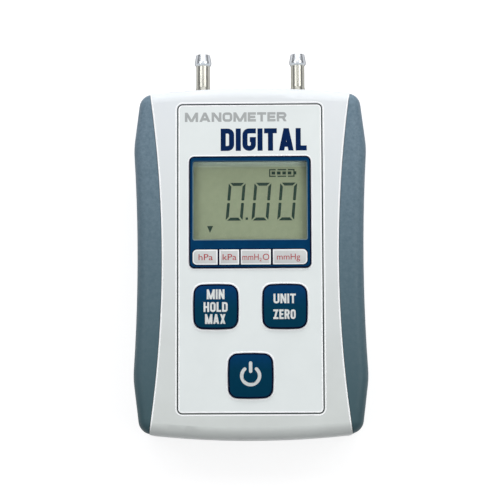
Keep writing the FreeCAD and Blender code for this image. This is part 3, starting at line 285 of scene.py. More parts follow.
@cache
def drift_group() -> bpy.types.NodeTree:
    """Build the slow change of tone that every moulded, printed and drawn surface has.

    Returns:
        A group that mixes a base colour and a drift colour by a soft noise.
    """
    graph, given, result = shader_group(
        "tone drift", {"Vector": "Vector", "Scale": "Float", "Base": "Color", "Drift": "Color"},
        {"Color": "Color"})
    noise = graph.add("TexNoise", Vector=given.outputs["Vector"], Scale=given.outputs["Scale"],
                      Detail=3.0, Roughness=0.6)
    soft = graph.add("MapRange", Value=noise.outputs[0], From_Min=0.3, From_Max=0.7)
    mixed = graph.blend(soft.outputs[0], given.outputs["Base"], given.outputs["Drift"])
    graph.fill(result, Color=mixed)
    return graph.tree


@dataclass(frozen=True)
class Finish:
    """One opaque finish: its colours as a screen shows them, its gloss and its fine relief.

    Attributes:
        name: The material's name.
        base: Main colour.
        drift: Colour that the base drifts towards in soft patches.
        drift_scale: Patches per metre.
        rough: Lowest and highest roughness.
        grain: Which shared grain gives the relief.
        grain_scale: Grains per metre.
        relief: Height of the grain in metres.
        metallic: 1 for metal.
        sheen: Weight of the soft sheen of rubber and cloth.
        specular: Strength of the plain reflection.
        edge_tint: How much of its edge reflection a metal keeps.
        shade: Colour at the lower end of a change along Y, if there is one. It is painted light and
            shade, for how the light falls along the part.
        shade_span: Y of the lower and upper end of that change, in metres.
        shade_drift: What the shade's channels are multiplied by in its soft patches.
    """

    name: str
    base: tuple[int, int, int]
    drift: tuple[int, int, int]
    drift_scale: float = 120.0
    rough: tuple[float, float] = (0.4, 0.5)
    grain: Grain = Grain.MOULDED
    grain_scale: float = 2500.0
    relief: float = 4e-6
    metallic: float = 0.0
    sheen: float = 0.0
    specular: float = 0.5
    edge_tint: float = 1.0
    shade: tuple[int, int, int] | None = None
    shade_span: tuple[float, float] = (-0.06, 0.06)
    shade_drift: float = 0.92

    def toned(self, graph: Graph, place: Socket, base: Colour, drift: Colour) -> Socket:
        """Let a linear colour drift towards another in soft patches.

        Args:
            graph: The material's graph.
            place: The object coordinates.
            base: Main colour.
            drift: The other colour.

        Returns:
            The colour's socket.
        """
        group = graph.add("Group")
        group.node_tree = drift_group()
        graph.fill(group, Vector=place, Scale=self.drift_scale, Base=base, Drift=drift)
        return group.outputs["Color"]

    @cache
    def material(self) -> bpy.types.Material:
        """Build the material, once.

        Returns:
            The finished material.
        """
        made, graph = new_material(self.name)
        place = graph.add("TexCoord").outputs["Object"]
        colour = self.toned(graph, place, paint(*self.base), paint(*self.drift))
        # Painted light and shade: the colour changes along Y from the base to the shade, standing
        # in for how the light falls along the part
        if self.shade is not None:
            shade = paint(*self.shade)
            deeper = tuple(channel * self.shade_drift for channel in shade)
            split = graph.add("SeparateXYZ", Vector=place)
            along = graph.add("MapRange", Value=split.outputs["Y"], From_Min=self.shade_span[1],
                              From_Max=self.shade_span[0])
            colour = graph.blend(along.outputs[0], colour, self.toned(graph, place, shade, deeper))
        height, rough = grained(graph, place, self.grain, self.grain_scale, self.rough)
        bump = graph.add("Bump", Height=height, Distance=self.relief)
        shader = graph.add("BsdfPrincipled", Base_Color=colour, Roughness=rough,
                           Metallic=self.metallic, Sheen_Weight=self.sheen,
                           Specular_IOR_Level=self.specular, Specular_Tint=(self.edge_tint,) * 3,
                           Normal=bump.outputs[0])
        graph.add("OutputMaterial", Surface=shader.outputs[0])
        return made


@dataclass(frozen=True)
class ClearFinish:
    """The clear acrylic of the display window, with a coat against reflections.

    Attributes:
        name: The material's name.
        tint: Linear colour of the light that passes.
        rough: Lowest and highest roughness.
        index: Refractive index, less than acrylic's 1.49 because the coat takes off mirroring.
        grain_scale: Grains per metre.
    """

    name: str
    tint: Colour
    rough: tuple[float, float] = (0.0, 0.02)
    index: float = 1.12
    grain_scale: float = 600.0

    @cache
    def material(self) -> bpy.types.Material:
        """Build the material, once. Shadow rays pass straight through it.

        Returns:
            The finished material.
        """
        made, graph = new_material(self.name)
        _, rough = grained(graph, graph.add("TexCoord").outputs["Object"], Grain.MOULDED,
                           self.grain_scale, self.rough)
        shader = graph.add("BsdfPrincipled", Base_Color=self.tint, IOR=self.index,
                           Transmission_Weight=1.0, Roughness=rough)
        passing = graph.add("BsdfTransparent", Color=self.tint)
        mixed = graph.join("MixShader", graph.add("LightPath").outputs["Is Shadow Ray"],
                           shader.outputs[0], passing.outputs[0])
        graph.add("OutputMaterial", Surface=mixed)
        return made


# Finishes by the record's material slot
SLOT_FINISHES = {
    # Painted shade: the case grows darker towards its lower end, standing in for the light falling
    # off along it
    "case_plastic": Finish("case plastic", (222, 227, 231), (226, 230, 233), 60.0, (0.42, 0.52),
                           relief=3e-6, specular=0.4, shade=(210, 215, 213),
                           shade_span=(-0.056, 0.056)),
    # Painted shade: the grips are lighter at the top and darker towards the bottom, as the light
    # falls on them
    "soft_grip": Finish("soft grip rubber", (93, 116, 132), (113, 135, 150), 900.0, (0.48, 0.62),
                        grain_scale=1800.0, relief=1.2e-5, sheen=0.04, specular=0.35,
                        shade=(52, 81, 88)),
    "label_film": Finish("label film", (227, 233, 233), (223, 229, 229), 80.0, (0.36, 0.46),
                         relief=2e-6, specular=0.4),
    "mask_print": Finish("navy moulding", (3, 57, 96), (2, 50, 87), 300.0, (0.34, 0.42),
                         relief=2e-6, specular=0.03),
    "clear_window": ClearFinish("clear acrylic", (0.97, 0.985, 0.98)),
    # Painted light: a pale bluish band along the opening's top edge, over the display's own olive,
    # for light off the frame's inner wall
    "lcd_glass": Finish("display glass", (232, 250, 236), (224, 243, 229), 500.0, (0.5, 0.6),
                        relief=0.0, specular=0.0, shade=(117, 124, 103),
                        shade_span=(0.0328, 0.0352)),
    "reflector_film": Finish("reflector film", (170, 175, 160), (160, 165, 150)),
    "holder_plastic": Finish("black moulding", (38, 38, 40), (32, 32, 34)),
    "contact_rubber": Finish("layered contact strip", (50, 50, 54), (80, 78, 72), 900.0),
    # Painted shade: each key is lighter at the top and darker below, as the light falls on its
    # crown
    "key_plastic": Finish("navy key", (8, 56, 106), (2, 52, 94), 700.0, (0.34, 0.42), relief=4e-6,
                          specular=0.03, shade=(3, 56, 80), shade_span=(-0.0165, -0.008)),
    "switch_plastic": Finish("switch plastic", (30, 30, 32), (24, 24, 26)),
    "board_laminate": Finish("green laminate", (24, 92, 56), (18, 78, 48), 260.0, (0.3, 0.45),
                             relief=5e-6),
    "chip_plastic": Finish("chip package", (34, 34, 36), (26, 26, 28)),
    "capacitor_ceramic": Finish("tan ceramic", (176, 142, 92), (160, 126, 80)),
    "crystal_can": Finish("crystal can", (190, 190, 190), (175, 175, 178), metallic=1.0,
                          rough=(0.25, 0.35), grain=Grain.BRUSHED),
    "screw_steel": Finish("zinc-plated steel", (185, 188, 190), (165, 168, 172), metallic=1.0,
                          rough=(0.28, 0.4)),
    # Painted reflection: the barb heads are lighter than the stems, standing in for their bright
    # reflections
    "port_metal": Finish("nickel plate", (214, 218, 222), (210, 214, 219), 200.0, (0.25, 0.33),
                         grain=Grain.BRUSHED, grain_scale=3000.0, relief=2e-7, metallic=1.0,
                         edge_tint=0.12, shade=(196, 195, 186), shade_span=(0.0712, 0.0718)),
    "nut_metal": Finish("plain brass", (206, 178, 110), (190, 160, 92), metallic=1.0,
                        rough=(0.25, 0.35)),
    "seal_rubber": Finish("black nitrile", (30, 30, 30), (24, 24, 24), sheen=0.1),
    "tube_rubber": Finish("milky silicone", (226, 226, 218), (214, 214, 204)),
    "sensor_plastic": Finish("sensor package", (232, 232, 226), (220, 220, 214)),
    "cell_can": Finish("cell sleeve", (62, 64, 68), (52, 54, 58), rough=(0.25, 0.35)),
    "contact_metal": Finish("spring steel", (200, 200, 196), (182, 182, 180), metallic=1.0,
                            rough=(0.2, 0.32), grain=Grain.BRUSHED),
}

# Finishes of single nodes, where they differ from the rest of their slot
NODE_FINISHES = {
    # Painted shade: the power key is lighter at the top and darker below, as the light falls on its
    # crown
    "power_key": Finish("navy power key", (6, 56, 100), (2, 52, 90), 700.0, (0.34, 0.42),
                        relief=4e-6, specular=0.03, shade=(2, 53, 77),
                        shade_span=(-0.0375, -0.0317)),
}

# Inks and trims of the pieces that are made here, some of them painted light and shade
GREY_INK = Finish("grey ink", (168, 172, 172), (158, 162, 163), 400.0, relief=1e-6)
NAVY_INK = Finish("navy ink", (4, 36, 84), (2, 30, 70), 400.0, relief=1e-6, specular=0.04)
SILVER_INK = Finish("silver ink", (222, 225, 224), (200, 204, 203), 900.0, relief=1e-6)
SIGN_INK = Finish("grey sign ink", (206, 210, 210), (192, 197, 197), 900.0, relief=1e-6)
RED_INK = Finish("red ink", (172, 56, 60), (162, 48, 54), 500.0, relief=1e-6, specular=0.1)
SEGMENT_INK = Finish("display segment", (34, 46, 44), (44, 56, 50), 900.0, (0.55, 0.65), relief=0.0,
                     specular=0.0)
PLATE_EDGE = Finish("unit plate rim", (236, 238, 240), (228, 231, 233), relief=1e-6, specular=0.2)
PLATE_FACE = Finish("unit plate face", (202, 205, 205), (196, 197, 197), 300.0, relief=1e-6,
                    specular=0.2)
# Painted light and shade: the opening's edge is dark as shade at the top and pale as a highlight at
# the bottom
OPENING_LIGHT_AND_SHADE = Finish("painted light and shade of the display opening edge", (56, 82, 104), (50, 76, 98), 300.0, (0.5, 0.6),
                      relief=1e-6, specular=0.05, shade=(112, 136, 148),
                      shade_span=(0.0325, 0.0345))
# Painted shadow: a dark line in the gap round the label
GAP_SHADE = Finish("painted label gap shadow", (30, 35, 38), (24, 29, 32), 300.0, (0.6, 0.7), relief=1e-6,
                   specular=0.1)
# Painted highlight: near-white lines along the edges of the label, mask, keys and grip seams, where
# rounded edges catch the light
EDGE_HIGHLIGHT = Finish("painted edge highlight", (252, 254, 255), (248, 250, 252), 200.0, (0.5, 0.6), relief=1e-6,
                    specular=0.2)
# Painted shade: dark navy on the keys' and mask's rims and in the gaps between the unit plates
EDGE_SHADE = Finish("painted navy edge shade", (0, 3, 32), (2, 6, 38), 300.0, (0.45, 0.55), relief=1e-6,
                   specular=0.05)


# Surfaces from points


def add_piece(name: str, shape: Shape, finish: Finish, body: str,
              smooth: bool = True) -> None:
    """Make a mesh piece at the origin that rides on a body.

    Args:
        name: The piece's name.
        shape: Its points in metres in the CAD frame, and the point numbers of each face.
        finish: The piece's finish.
        body: The CAD body that carries the piece.
        smooth: Whether the faces are shaded smoothly up to a sharp angle.
    """
    points, faces = shape
    mesh = bpy.data.meshes.new(name)
    mesh.from_pydata(points.tolist(), [], faces)
    mesh.materials.append(finish.material())
    if smooth:
        mesh.shade_smooth()
        mesh.set_sharp_from_angle(angle=SHARP_ANGLE)
    mesh.update()
    piece = bpy.data.objects.new(name, mesh)
    bpy.context.scene.collection.objects.link(piece)
    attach(piece, body)


def ring_quads(rings: int, around: int, closed: bool = True,
               looped: bool = False) -> list[list[int]]:
    """Join neighbouring rings of points by quads.

    Quad (i, j) takes points (i, j), (i, j+1), (i+1, j+1) and (i+1, j), where ring i starts at
    point i times around.

    Args:
        rings: How many rings there are.
        around: Points in each ring.
        closed: Whether each ring runs back into its start.
        looped: Whether the last ring joins the first.

    Returns:
        The quads as lists of point numbers.
    """
    row, column = np.meshgrid(np.arange(rings if looped else rings - 1),
                              np.arange(around if closed else around - 1), indexing="ij")
    below, above, after = row * around, (row + 1) % rings * around, (column + 1) % around
    quads = np.stack([below + column, below + after, above + after, above + column], axis=-1)
    return quads.reshape(-1, 4).tolist()


def normals(path: Array, closed: bool = True) -> Array:
    """Work out the unit normal to the right at each point, outward on an outline.

    The tangent is the next point less the one before, and the normal is the tangent turned a
    quarter clockwise. The ends of an open path take the step next to them.

    Args:
        path: Points of shape (n, 2), counter-clockwise where it is closed.
        closed: Whether the path runs back into its start.

    Returns:
        Normals of shape (n, 2).
    """
    if closed:
        tangent = np.roll(path, -1, axis=0) - np.roll(path, 1, axis=0)
    else:
        tangent = np.gradient(path, axis=0)
    tangent /= np.linalg.norm(tangent, axis=1, keepdims=True)
    return np.stack([tangent[:, 1], -tangent[:, 0]], axis=1)


def rectangle(left: float, right: float, low: float, high: float) -> Array:
    """Draw a rectangle between its sides, counter-clockwise from the lower left corner."""
    return np.array([[left, low], [right, low], [right, high], [left, high]])


def rounded_outline(width: float, length: float, radii: Sequence[float],
                    centre: tuple[float, float], steps: int = 8) -> Array:
    """Draw a rectangle with a round at each corner.

    Corner k has its centre at the corner less its radius both ways, and its points run over
    the quarter turn that starts at k times 90 degrees.

    Args:
        width: Size along X.
        length: Size along Y.
        radii: Radius of the upper right, upper left, lower left and lower right corner.
        centre: The rectangle's middle.
        steps: Points on each corner.

    Returns:
        Points of shape (4 * steps, 2), counter-clockwise.
    """
    signs = np.array([[1, 1], [-1, 1], [-1, -1], [1, -1]], float)
    radius = np.asarray(radii, float)[:, None]
    corners = signs * (np.array([width, length]) / 2 - radius)
    turn = np.arange(4)[:, None] * math.pi / 2 + np.linspace(0, math.pi / 2, steps)[None, :]
    arcs = np.stack([np.cos(turn), np.sin(turn)], axis=-1) * radius[:, :, None]
    return (corners[:, None, :] + arcs).reshape(-1, 2) + np.asarray(centre)


def bowed_outline(width: float, side_radius: float, corner: float,
                  centre: tuple[float, float]) -> Array:
    """Draw a square whose sides bow outwards.

    A rounded square's points (x, y) become x*(1 - y^2/(R*w)) and y*(1 - x^2/(R*w)), which
    draws each side in by its arc's sagitta towards the corners.

    Args:
        width: The square's width w across its middle.
        side_radius: Radius R of each side's arc.
        corner: Radius of the corners.
        centre: The square's middle.

    Returns:
        Points of shape (n, 2), counter-clockwise.
    """
    half, reach = width / 2, width / 2 - corner
    run = np.linspace(-reach, reach, KEY_SIDE_STEPS)[:-1]
    turn = np.linspace(0, math.pi / 2, KEY_CORNER_STEPS)[:-1]
    side = np.stack([np.full(len(run), half), run], axis=1)
    round_part = reach + corner * np.stack([np.cos(turn), np.sin(turn)], axis=1)
    quarter = np.concatenate([side, round_part])
    swapped = quarter[:, ::-1]
    square = np.concatenate([quarter, swapped * [-1, 1], -quarter, swapped * [1, -1]])
    draw = 1 - square[:, ::-1]**2 / (side_radius * width)
    return square * draw + np.asarray(centre)


def stroke_outline(path: Array, half: float) -> Array:
    """Draw the outline of a stroke of even width with round ends.

    The right edge is the path moved half a width to its right, then a half turn about the last
    point, the left edge backwards, and a half turn about the first point.

    Args:
        path: Points of the middle line, of shape (n, 2).
        half: Half of the stroke's width.

    Returns:
        The outline's points, counter-clockwise.
    """
    right = normals(path, closed=False) * half

    def cap(centre: Array, start: Array) -> Array:
        """Draw a half turn about a centre, between its start and the opposite point."""
        angle = math.atan2(start[1], start[0]) + np.linspace(0, math.pi, CAP_STEPS)[1:-1]
        return centre + half * np.stack([np.cos(angle), np.sin(angle)], axis=1)

    return np.concatenate([path + right, cap(path[-1], right[-1]), (path - right)[::-1],
                           cap(path[0], -right[0])])


def capped_rings(rings: Array) -> Shape:
    """Join closed rings of points by quads, and close the last ring and the first.

    Args:
        rings: Points of shape (rings, n, 3), each ring counter-clockwise.

    Returns:
        The points and faces.
    """
    number, count, _ = rings.shape
    over, under = list(range((number - 1) * count, number * count)), list(range(count))[::-1]
    return rings.reshape(-1, 3), ring_quads(number, count) + [over, under]


def plate(outline: Array, floor: float, top: float, edge: float) -> Shape:
    """Raise an outline to a plate with a round upper edge.

    Ring 0 is the outline at the floor. Further rings move in by edge*(1 - cos a) and lie at
    top - edge*(1 - sin a) for a from 0 to 90 degrees.

    Args:
        outline: Points of shape (n, 2), counter-clockwise.
        floor: Height of the underside.
        top: Height of the upper face.
        edge: Radius of the upper edge.

    Returns:
        The points and faces.
    """
    angle = np.linspace(0, math.pi / 2, EDGE_STEPS)
    inset = np.concatenate([[0.0], edge * (1 - np.cos(angle))])
    level = np.concatenate([[floor], top - edge * (1 - np.sin(angle))])
    rings = outline - normals(outline) * inset[:, None, None]
    heights = np.broadcast_to(level[:, None, None], (len(level), len(outline), 1))
    return capped_rings(np.concatenate([rings, heights], axis=-1))


def prism(outline: Array, under: float | Array, over: float | Array) -> Shape:
    """Raise an outline between two heights, each one for all or one for each point."""
    levels = [np.broadcast_to(level, len(outline)) for level in (under, over)]
    return capped_rings(np.stack([np.column_stack([outline, level]) for level in levels]))


def joined(shapes: Sequence[Shape]) -> Shape:
    """Put several shapes together as one."""
    starts = np.cumsum([0] + [len(points) for points, _ in shapes]).tolist()
    faces = [[start + corner for corner in face]
             for start, (_, own) in zip(starts, shapes) for face in own]
    return np.concatenate([points for points, _ in shapes]), faces


def bead(path: Array, half: float | Array, floor: float | Array, rise: float | Array,
         closed: bool = True) -> Shape:
    """Carry a low dome along a path.

    Point (i, j) lies half_j*cos(a_i) to the right of the path's point j, at
    floor_j + rise_j*sin(a_i), for a from 0 to 180 degrees. Flat faces close the underside, and
    the ends of an open path.

    Args:
        path: Points of shape (n, 2), counter-clockwise where it is closed.
        half: Half of the bead's width, one for all or one for each point.
        floor: Height of the underside, one for all or one for each point.
        rise: Height of the dome, one for all or one for each point.
        closed: Whether the path runs back into its start.

    Returns:
        The points and faces.
    """
    angle = np.linspace(0, math.pi, DOME_STEPS)[:, None]
    rings = path + normals(path, closed) * (half * np.cos(angle))[:, :, None]
    level = np.broadcast_to(floor + rise * np.sin(angle), rings.shape[:2])
    points = np.concatenate([rings, level[:, :, None]], axis=-1).reshape(-1, 3)
    faces = ring_quads(DOME_STEPS, len(path), closed, looped=True)
    if not closed:
        start = np.arange(DOME_STEPS) * len(path)
        faces += [start[::-1].tolist(), (start + len(path) - 1).tolist()]
    return points, faces


# Lettering


def rounded_path(corners: Sequence[tuple[float, float]], radius: float) -> Array:
    """Round the square corners of a path.

    Each corner P between A and B becomes P + u*r*(1 - sin a) + v*r*(1 - cos a), with u and v the
    unit vectors from P to A and to B, for a from 0 to 90 degrees.

    Args:
        corners: The path's points, with a right angle at each inner one.
        radius: Radius of the rounds.

    Returns:
        The rounded path of shape (n, 2).
    """
    points = np.asarray(corners, float)
    before, here, after = points[:-2], points[1:-1], points[2:]
    back = (before - here) / np.linalg.norm(before - here, axis=1, keepdims=True)
    ahead = (after - here) / np.linalg.norm(after - here, axis=1, keepdims=True)
    angle = np.linspace(0, math.pi / 2, BEND_STEPS)[None, :, None]
    arcs = (here[:, None] + back[:, None] * radius * (1 - np.sin(angle))
            + ahead[:, None] * radius * (1 - np.cos(angle)))
    return np.concatenate([points[:1], arcs.reshape(-1, 2), points[-1:]])


@dataclass(frozen=True)
class BlockLetters:
    """Plain block capitals of height 1, made of strokes of one width.

    Attributes:
        stroke: Width of the strokes.
        bend: Radius of the middle line of a rounded corner.
        gap: Space between letters.
    """

    stroke: float = 0.2
    bend: float = 0.16
    gap: float = 0.08

    def leg(self, foot: float, head: float, high: float = 1.0) -> Array:
        """Draw a straight stroke with level ends.

        Its level width is the stroke's width times the square root of 1 + slope^2.

        Args:
            foot: X of the middle of its lower end, which stands at height 0.
            head: X of the middle of its upper end.
            high: Y of the upper end.

        Returns:
            The outline's points.
        """
        half = self.stroke / 2 * math.hypot(1.0, (head - foot) / high)
        return np.array([[foot - half, 0.0], [foot + half, 0.0], [head + half, high],
                         [head - half, high]])

    def bar(self, left: float, right: float, middle: float) -> Array:
        """Draw a level stroke from left to right about a middle height."""
        half = self.stroke / 2
        return rectangle(left, right, middle - half, middle + half)

    def bow(self, *corners: tuple[float, float]) -> Array:
        """Draw a stroke with round corners and straight-cut ends along a path."""
        path = rounded_path(corners, self.bend)
        side = normals(path, closed=False) * self.stroke / 2
        return np.concatenate([path + side, (path - side)[::-1]])

    def letter(self, name: str, w: float) -> list[Array]:
        """Draw one capital.

        Args:
            name: The capital.
            w: Its width.

        Returns:
            The outlines of its strokes, which may overlap.
        """
        h = self.stroke / 2
        far, roof, belly, lean = w - h, 1 - h, 0.46, 1.2 * h
        left, right = self.leg(h, h), self.leg(far, far)
        shapes = {
            "A": [self.leg(lean, w / 2), self.leg(w - lean, w / 2),
                  self.bar(0.25 * w, 0.75 * w, 0.28)],
            "D": [left, self.bow((h, h), (far, h), (far, roof), (h, roof))],
            "E": [left, self.bar(0, w, h), self.bar(0, 0.92 * w, 0.5), self.bar(0, w, roof)],
            "G": [self.bow((w, roof), (h, roof), (h, h), (far, h), (far, 0.5)),
                  self.bar(0.55 * w, w, 0.5)],
            "H": [left, right, self.bar(0, w, 0.5)],
            "I": [left],
            "L": [left, self.bar(0, w, h)],
            "M": [left, right, self.leg(w / 2, h), self.leg(w / 2, far)],
            "N": [left, right, self.leg(far, h)],
            "O": [self.bow((h, 0.5), (h, h), (far, h), (far, roof), (h, roof), (h, 0.5))],
            "R": [left, self.bow((h, roof), (far, roof), (far, belly), (h, belly)),
                  self.leg(far, 0.62 * w, belly)],
            "T": [self.leg(w / 2, w / 2), self.bar(0, w, roof)],
            "U": [self.bow((h, 1), (h, h), (far, h), (far, 1))],
            "X": [self.leg(lean, w - lean), self.leg(w - lean, lean)],
            "Z": [self.bar(0, w, h), self.bar(0, w, roof), self.leg(1.4 * h, w - 1.4 * h)],
        }
        return shapes[name]

    def word(self, words: str, width: float) -> list[Array]:
        """Set capitals side by side so that they fill a width.

        One unit of width is what is left after the gaps and the strokes of each I, shared out
        by each letter's own share.

        Args:
            words: The capitals.
            width: The whole width, as a multiple of the height.

        Returns:
            The outlines of every stroke.
        """
        shares = {"M": 1.35, "A": 1.16, "X": 1.05, "E": 0.84, "L": 0.82, "T": 0.94, "I": 0.0}
        weights = [shares.get(name, 1.0) for name in words]
        spare = width - self.gap * (len(words) - 1) - self.stroke * words.count("I")
        unit = spare / sum(weights)
        outlines, place = [], 0.0
        for name, weight in zip(words, weights):
            own = unit * weight if weight else self.stroke
            strokes = self.letter(name, own if weight else 1.0)
            outlines += [outline + [place, 0.0] for outline in strokes]
            place += own + self.gap
        return outlines


def joined_faces(outlines: Sequence[Array]) -> tuple[Array, Array]:
    """Merge overlapping outlines into one flat mesh of triangles.

    Args:
        outlines: Closed outlines of shape (n, 2), counter-clockwise.

    Returns:
        The points of shape (n, 2), and the triangles of shape (m, 3), counter-clockwise.
    """
    points = np.concatenate(outlines)
    starts = np.cumsum([0] + [len(outline) for outline in outlines])
    loops = [list(range(low, high)) for low, high in zip(starts[:-1], starts[1:])]
    found = delaunay_2d_cdt([Vector(point) for point in points.tolist()], [], loops, 1,
                            MERGE_DISTANCE)
    merged = np.array([tuple(point) for point in found[0]])
    triangles = np.array([face for face, sources in zip(found[2], found[5]) if sources])
    a, b, c = (merged[triangles[:, corner]] for corner in range(3))
    turned = (b - a)[:, 0] * (c - a)[:, 1] - (b - a)[:, 1] * (c - a)[:, 0] < 0
    triangles[turned] = triangles[turned][:, ::-1]
    return merged, triangles


def raised_faces(flat: Array, triangles: Array, under: Array, over: Array) -> Shape:
    """Give a flat mesh a thickness.

    The triangles are doubled at the upper and lower heights, and each edge that only one
    triangle has gets a wall.

    Args:
        flat: Points of shape (n, 2).
        triangles: Triangles of shape (m, 3), counter-clockwise.
        under: Height of the underside at each point.
        over: Height of the upper side at each point.

    Returns:
        The points and faces.
    """
    count = len(flat)
    points = np.concatenate([np.column_stack([flat, under]), np.column_stack([flat, over])])
    edges = np.concatenate([triangles[:, [0, 1]], triangles[:, [1, 2]], triangles[:, [2, 0]]])
    _, places, times = np.unique(np.sort(edges, axis=1), axis=0, return_index=True,
                                 return_counts=True)
    rim = edges[places[times == 1]]
    walls = np.column_stack([rim, rim[:, ::-1] + count])
    faces = (triangles + count).tolist() + triangles[:, ::-1].tolist() + walls.tolist()
    return points, faces


@dataclass(frozen=True)
class Print:
    """Words that are printed within a rectangle, whose sides are in millimetres.

    Attributes:
        words: The words.
        left: X of the rectangle's left side.
        right: X of its right side.
        low: Y of the letters' foot.
        high: Y of the letters' top.
        block: The block capitals to set them in, or None for the built-in face.
    """

    words: str
    left: float
    right: float
    low: float
    high: float
    block: BlockLetters | None = None

    def flat(self) -> tuple[Array, Array]:
        """Set the words flat within the rectangle.

        Returns:
            Points of shape (n, 2) in metres, and triangles of shape (m, 3).
        """
        size = np.array([self.right - self.left, self.high - self.low])
        if self.block is None:
            points, triangles = self.built_in()
        else:
            points, triangles = joined_faces(self.block.word(self.words, size[0] / size[1]))
        lowest, highest = points.min(axis=0), points.max(axis=0)
        share = (points - lowest) / (highest - lowest)
        return (share * size + [self.left, self.low]) * MM, triangles

    def built_in(self) -> tuple[Array, Array]:
        """Set the words in the built-in face, as a flat mesh of triangles."""
        curve = bpy.data.curves.new("letters", "FONT")
        curve.body = self.words
        curve.resolution_u = LETTER_STEPS
        holder = bpy.data.objects.new("letters", curve)
        bpy.context.scene.collection.objects.link(holder)
        bpy.context.view_layer.update()
        ready = holder.evaluated_get(bpy.context.evaluated_depsgraph_get())
        made = bpy.data.meshes.new_from_object(ready)
        made.calc_loop_triangles()
        points = np.empty(len(made.vertices) * 3)
        made.vertices.foreach_get("co", points)
        triangles = np.empty(len(made.loop_triangles) * 3, dtype=np.int32)
        made.loop_triangles.foreach_get("vertices", triangles)
        bpy.data.meshes.remove(made)
        bpy.data.objects.remove(holder)
        bpy.data.curves.remove(curve)
        return points.reshape(-1, 3)[:, :2], triangles.reshape(-1, 3)


def flat_level(height: float) -> Level:
    """Return the height of a flat face as a function of the place on it."""
    return lambda place: np.full(len(place), height)


def crown_level(centre: tuple[float, float], top: float, radius: float) -> Level:
    """Return the height of a crowned face.

    The height is top - radius + sqrt(radius^2 - d^2), with d the distance from the centre.

    Args:
        centre: The crown's middle.
        top: Height of the middle.
        radius: Radius of the crown.

    Returns:
        The height as a function of places of shape (n, 2).
    """
    def level(place: Array) -> Array:
        """Work out the height at each place."""
        apart = place - np.array(centre)
        return top - radius + np.sqrt(radius**2 - (apart**2).sum(axis=1))
    return level


def print_words(name: str, text: Print, level: Level, thickness: float, finish: Finish,
                body: str) -> None:
    """Print words on a face.

    Args:
        name: The piece's name.
        text: The words and their rectangle.
        level: Height of the face as a function of the place.
        thickness: How far the ink stands up, and how far it reaches into the face.
        finish: The ink.
        body: The body that carries the face.
    """
    flat, triangles = text.flat()
    face = level(flat)
    add_piece(name, raised_faces(flat, triangles, face - thickness, face + thickness), finish,
              body, smooth=False)


# Sub-assemblies


@dataclass(frozen=True)
class EdgeLine:
    """A bead on the case that follows the edge of a rounded rectangle, sizes in millimetres.

    Attributes:
        name: The piece's name.
        out: How far outside of the edge its middle runs.
        half: Half of its width.
        lift: Height of its underside over the face that carries it.
        rise: Height of its dome.
        finish: Its finish.
        slot: The record's material slot that the finish stands for; not used.
    """

    name: str
    out: float
    half: float
    lift: float
    rise: float
    finish: Finish
    slot: str

    def lay(self, low: Sequence[float], high: Sequence[float], corner: float,
            face: float) -> None:
        """Lay the bead round a rounded rectangle, given in metres.

        Args:
            low: The rectangle's lower left corner.
            high: Its upper right corner.
            corner: Radius of its corners.
            face: Height of the face that carries the bead.
        """
        out = self.out * MM
        path = rounded_outline(high[0] - low[0] + 2 * out, high[1] - low[1] + 2 * out,
                               [corner + out] * 4, ((low[0] + high[0]) / 2, (low[1] + high[1]) / 2))
        add_piece(self.name, bead(path, self.half * MM, face + self.lift * MM, self.rise * MM),
                  self.finish, "case")


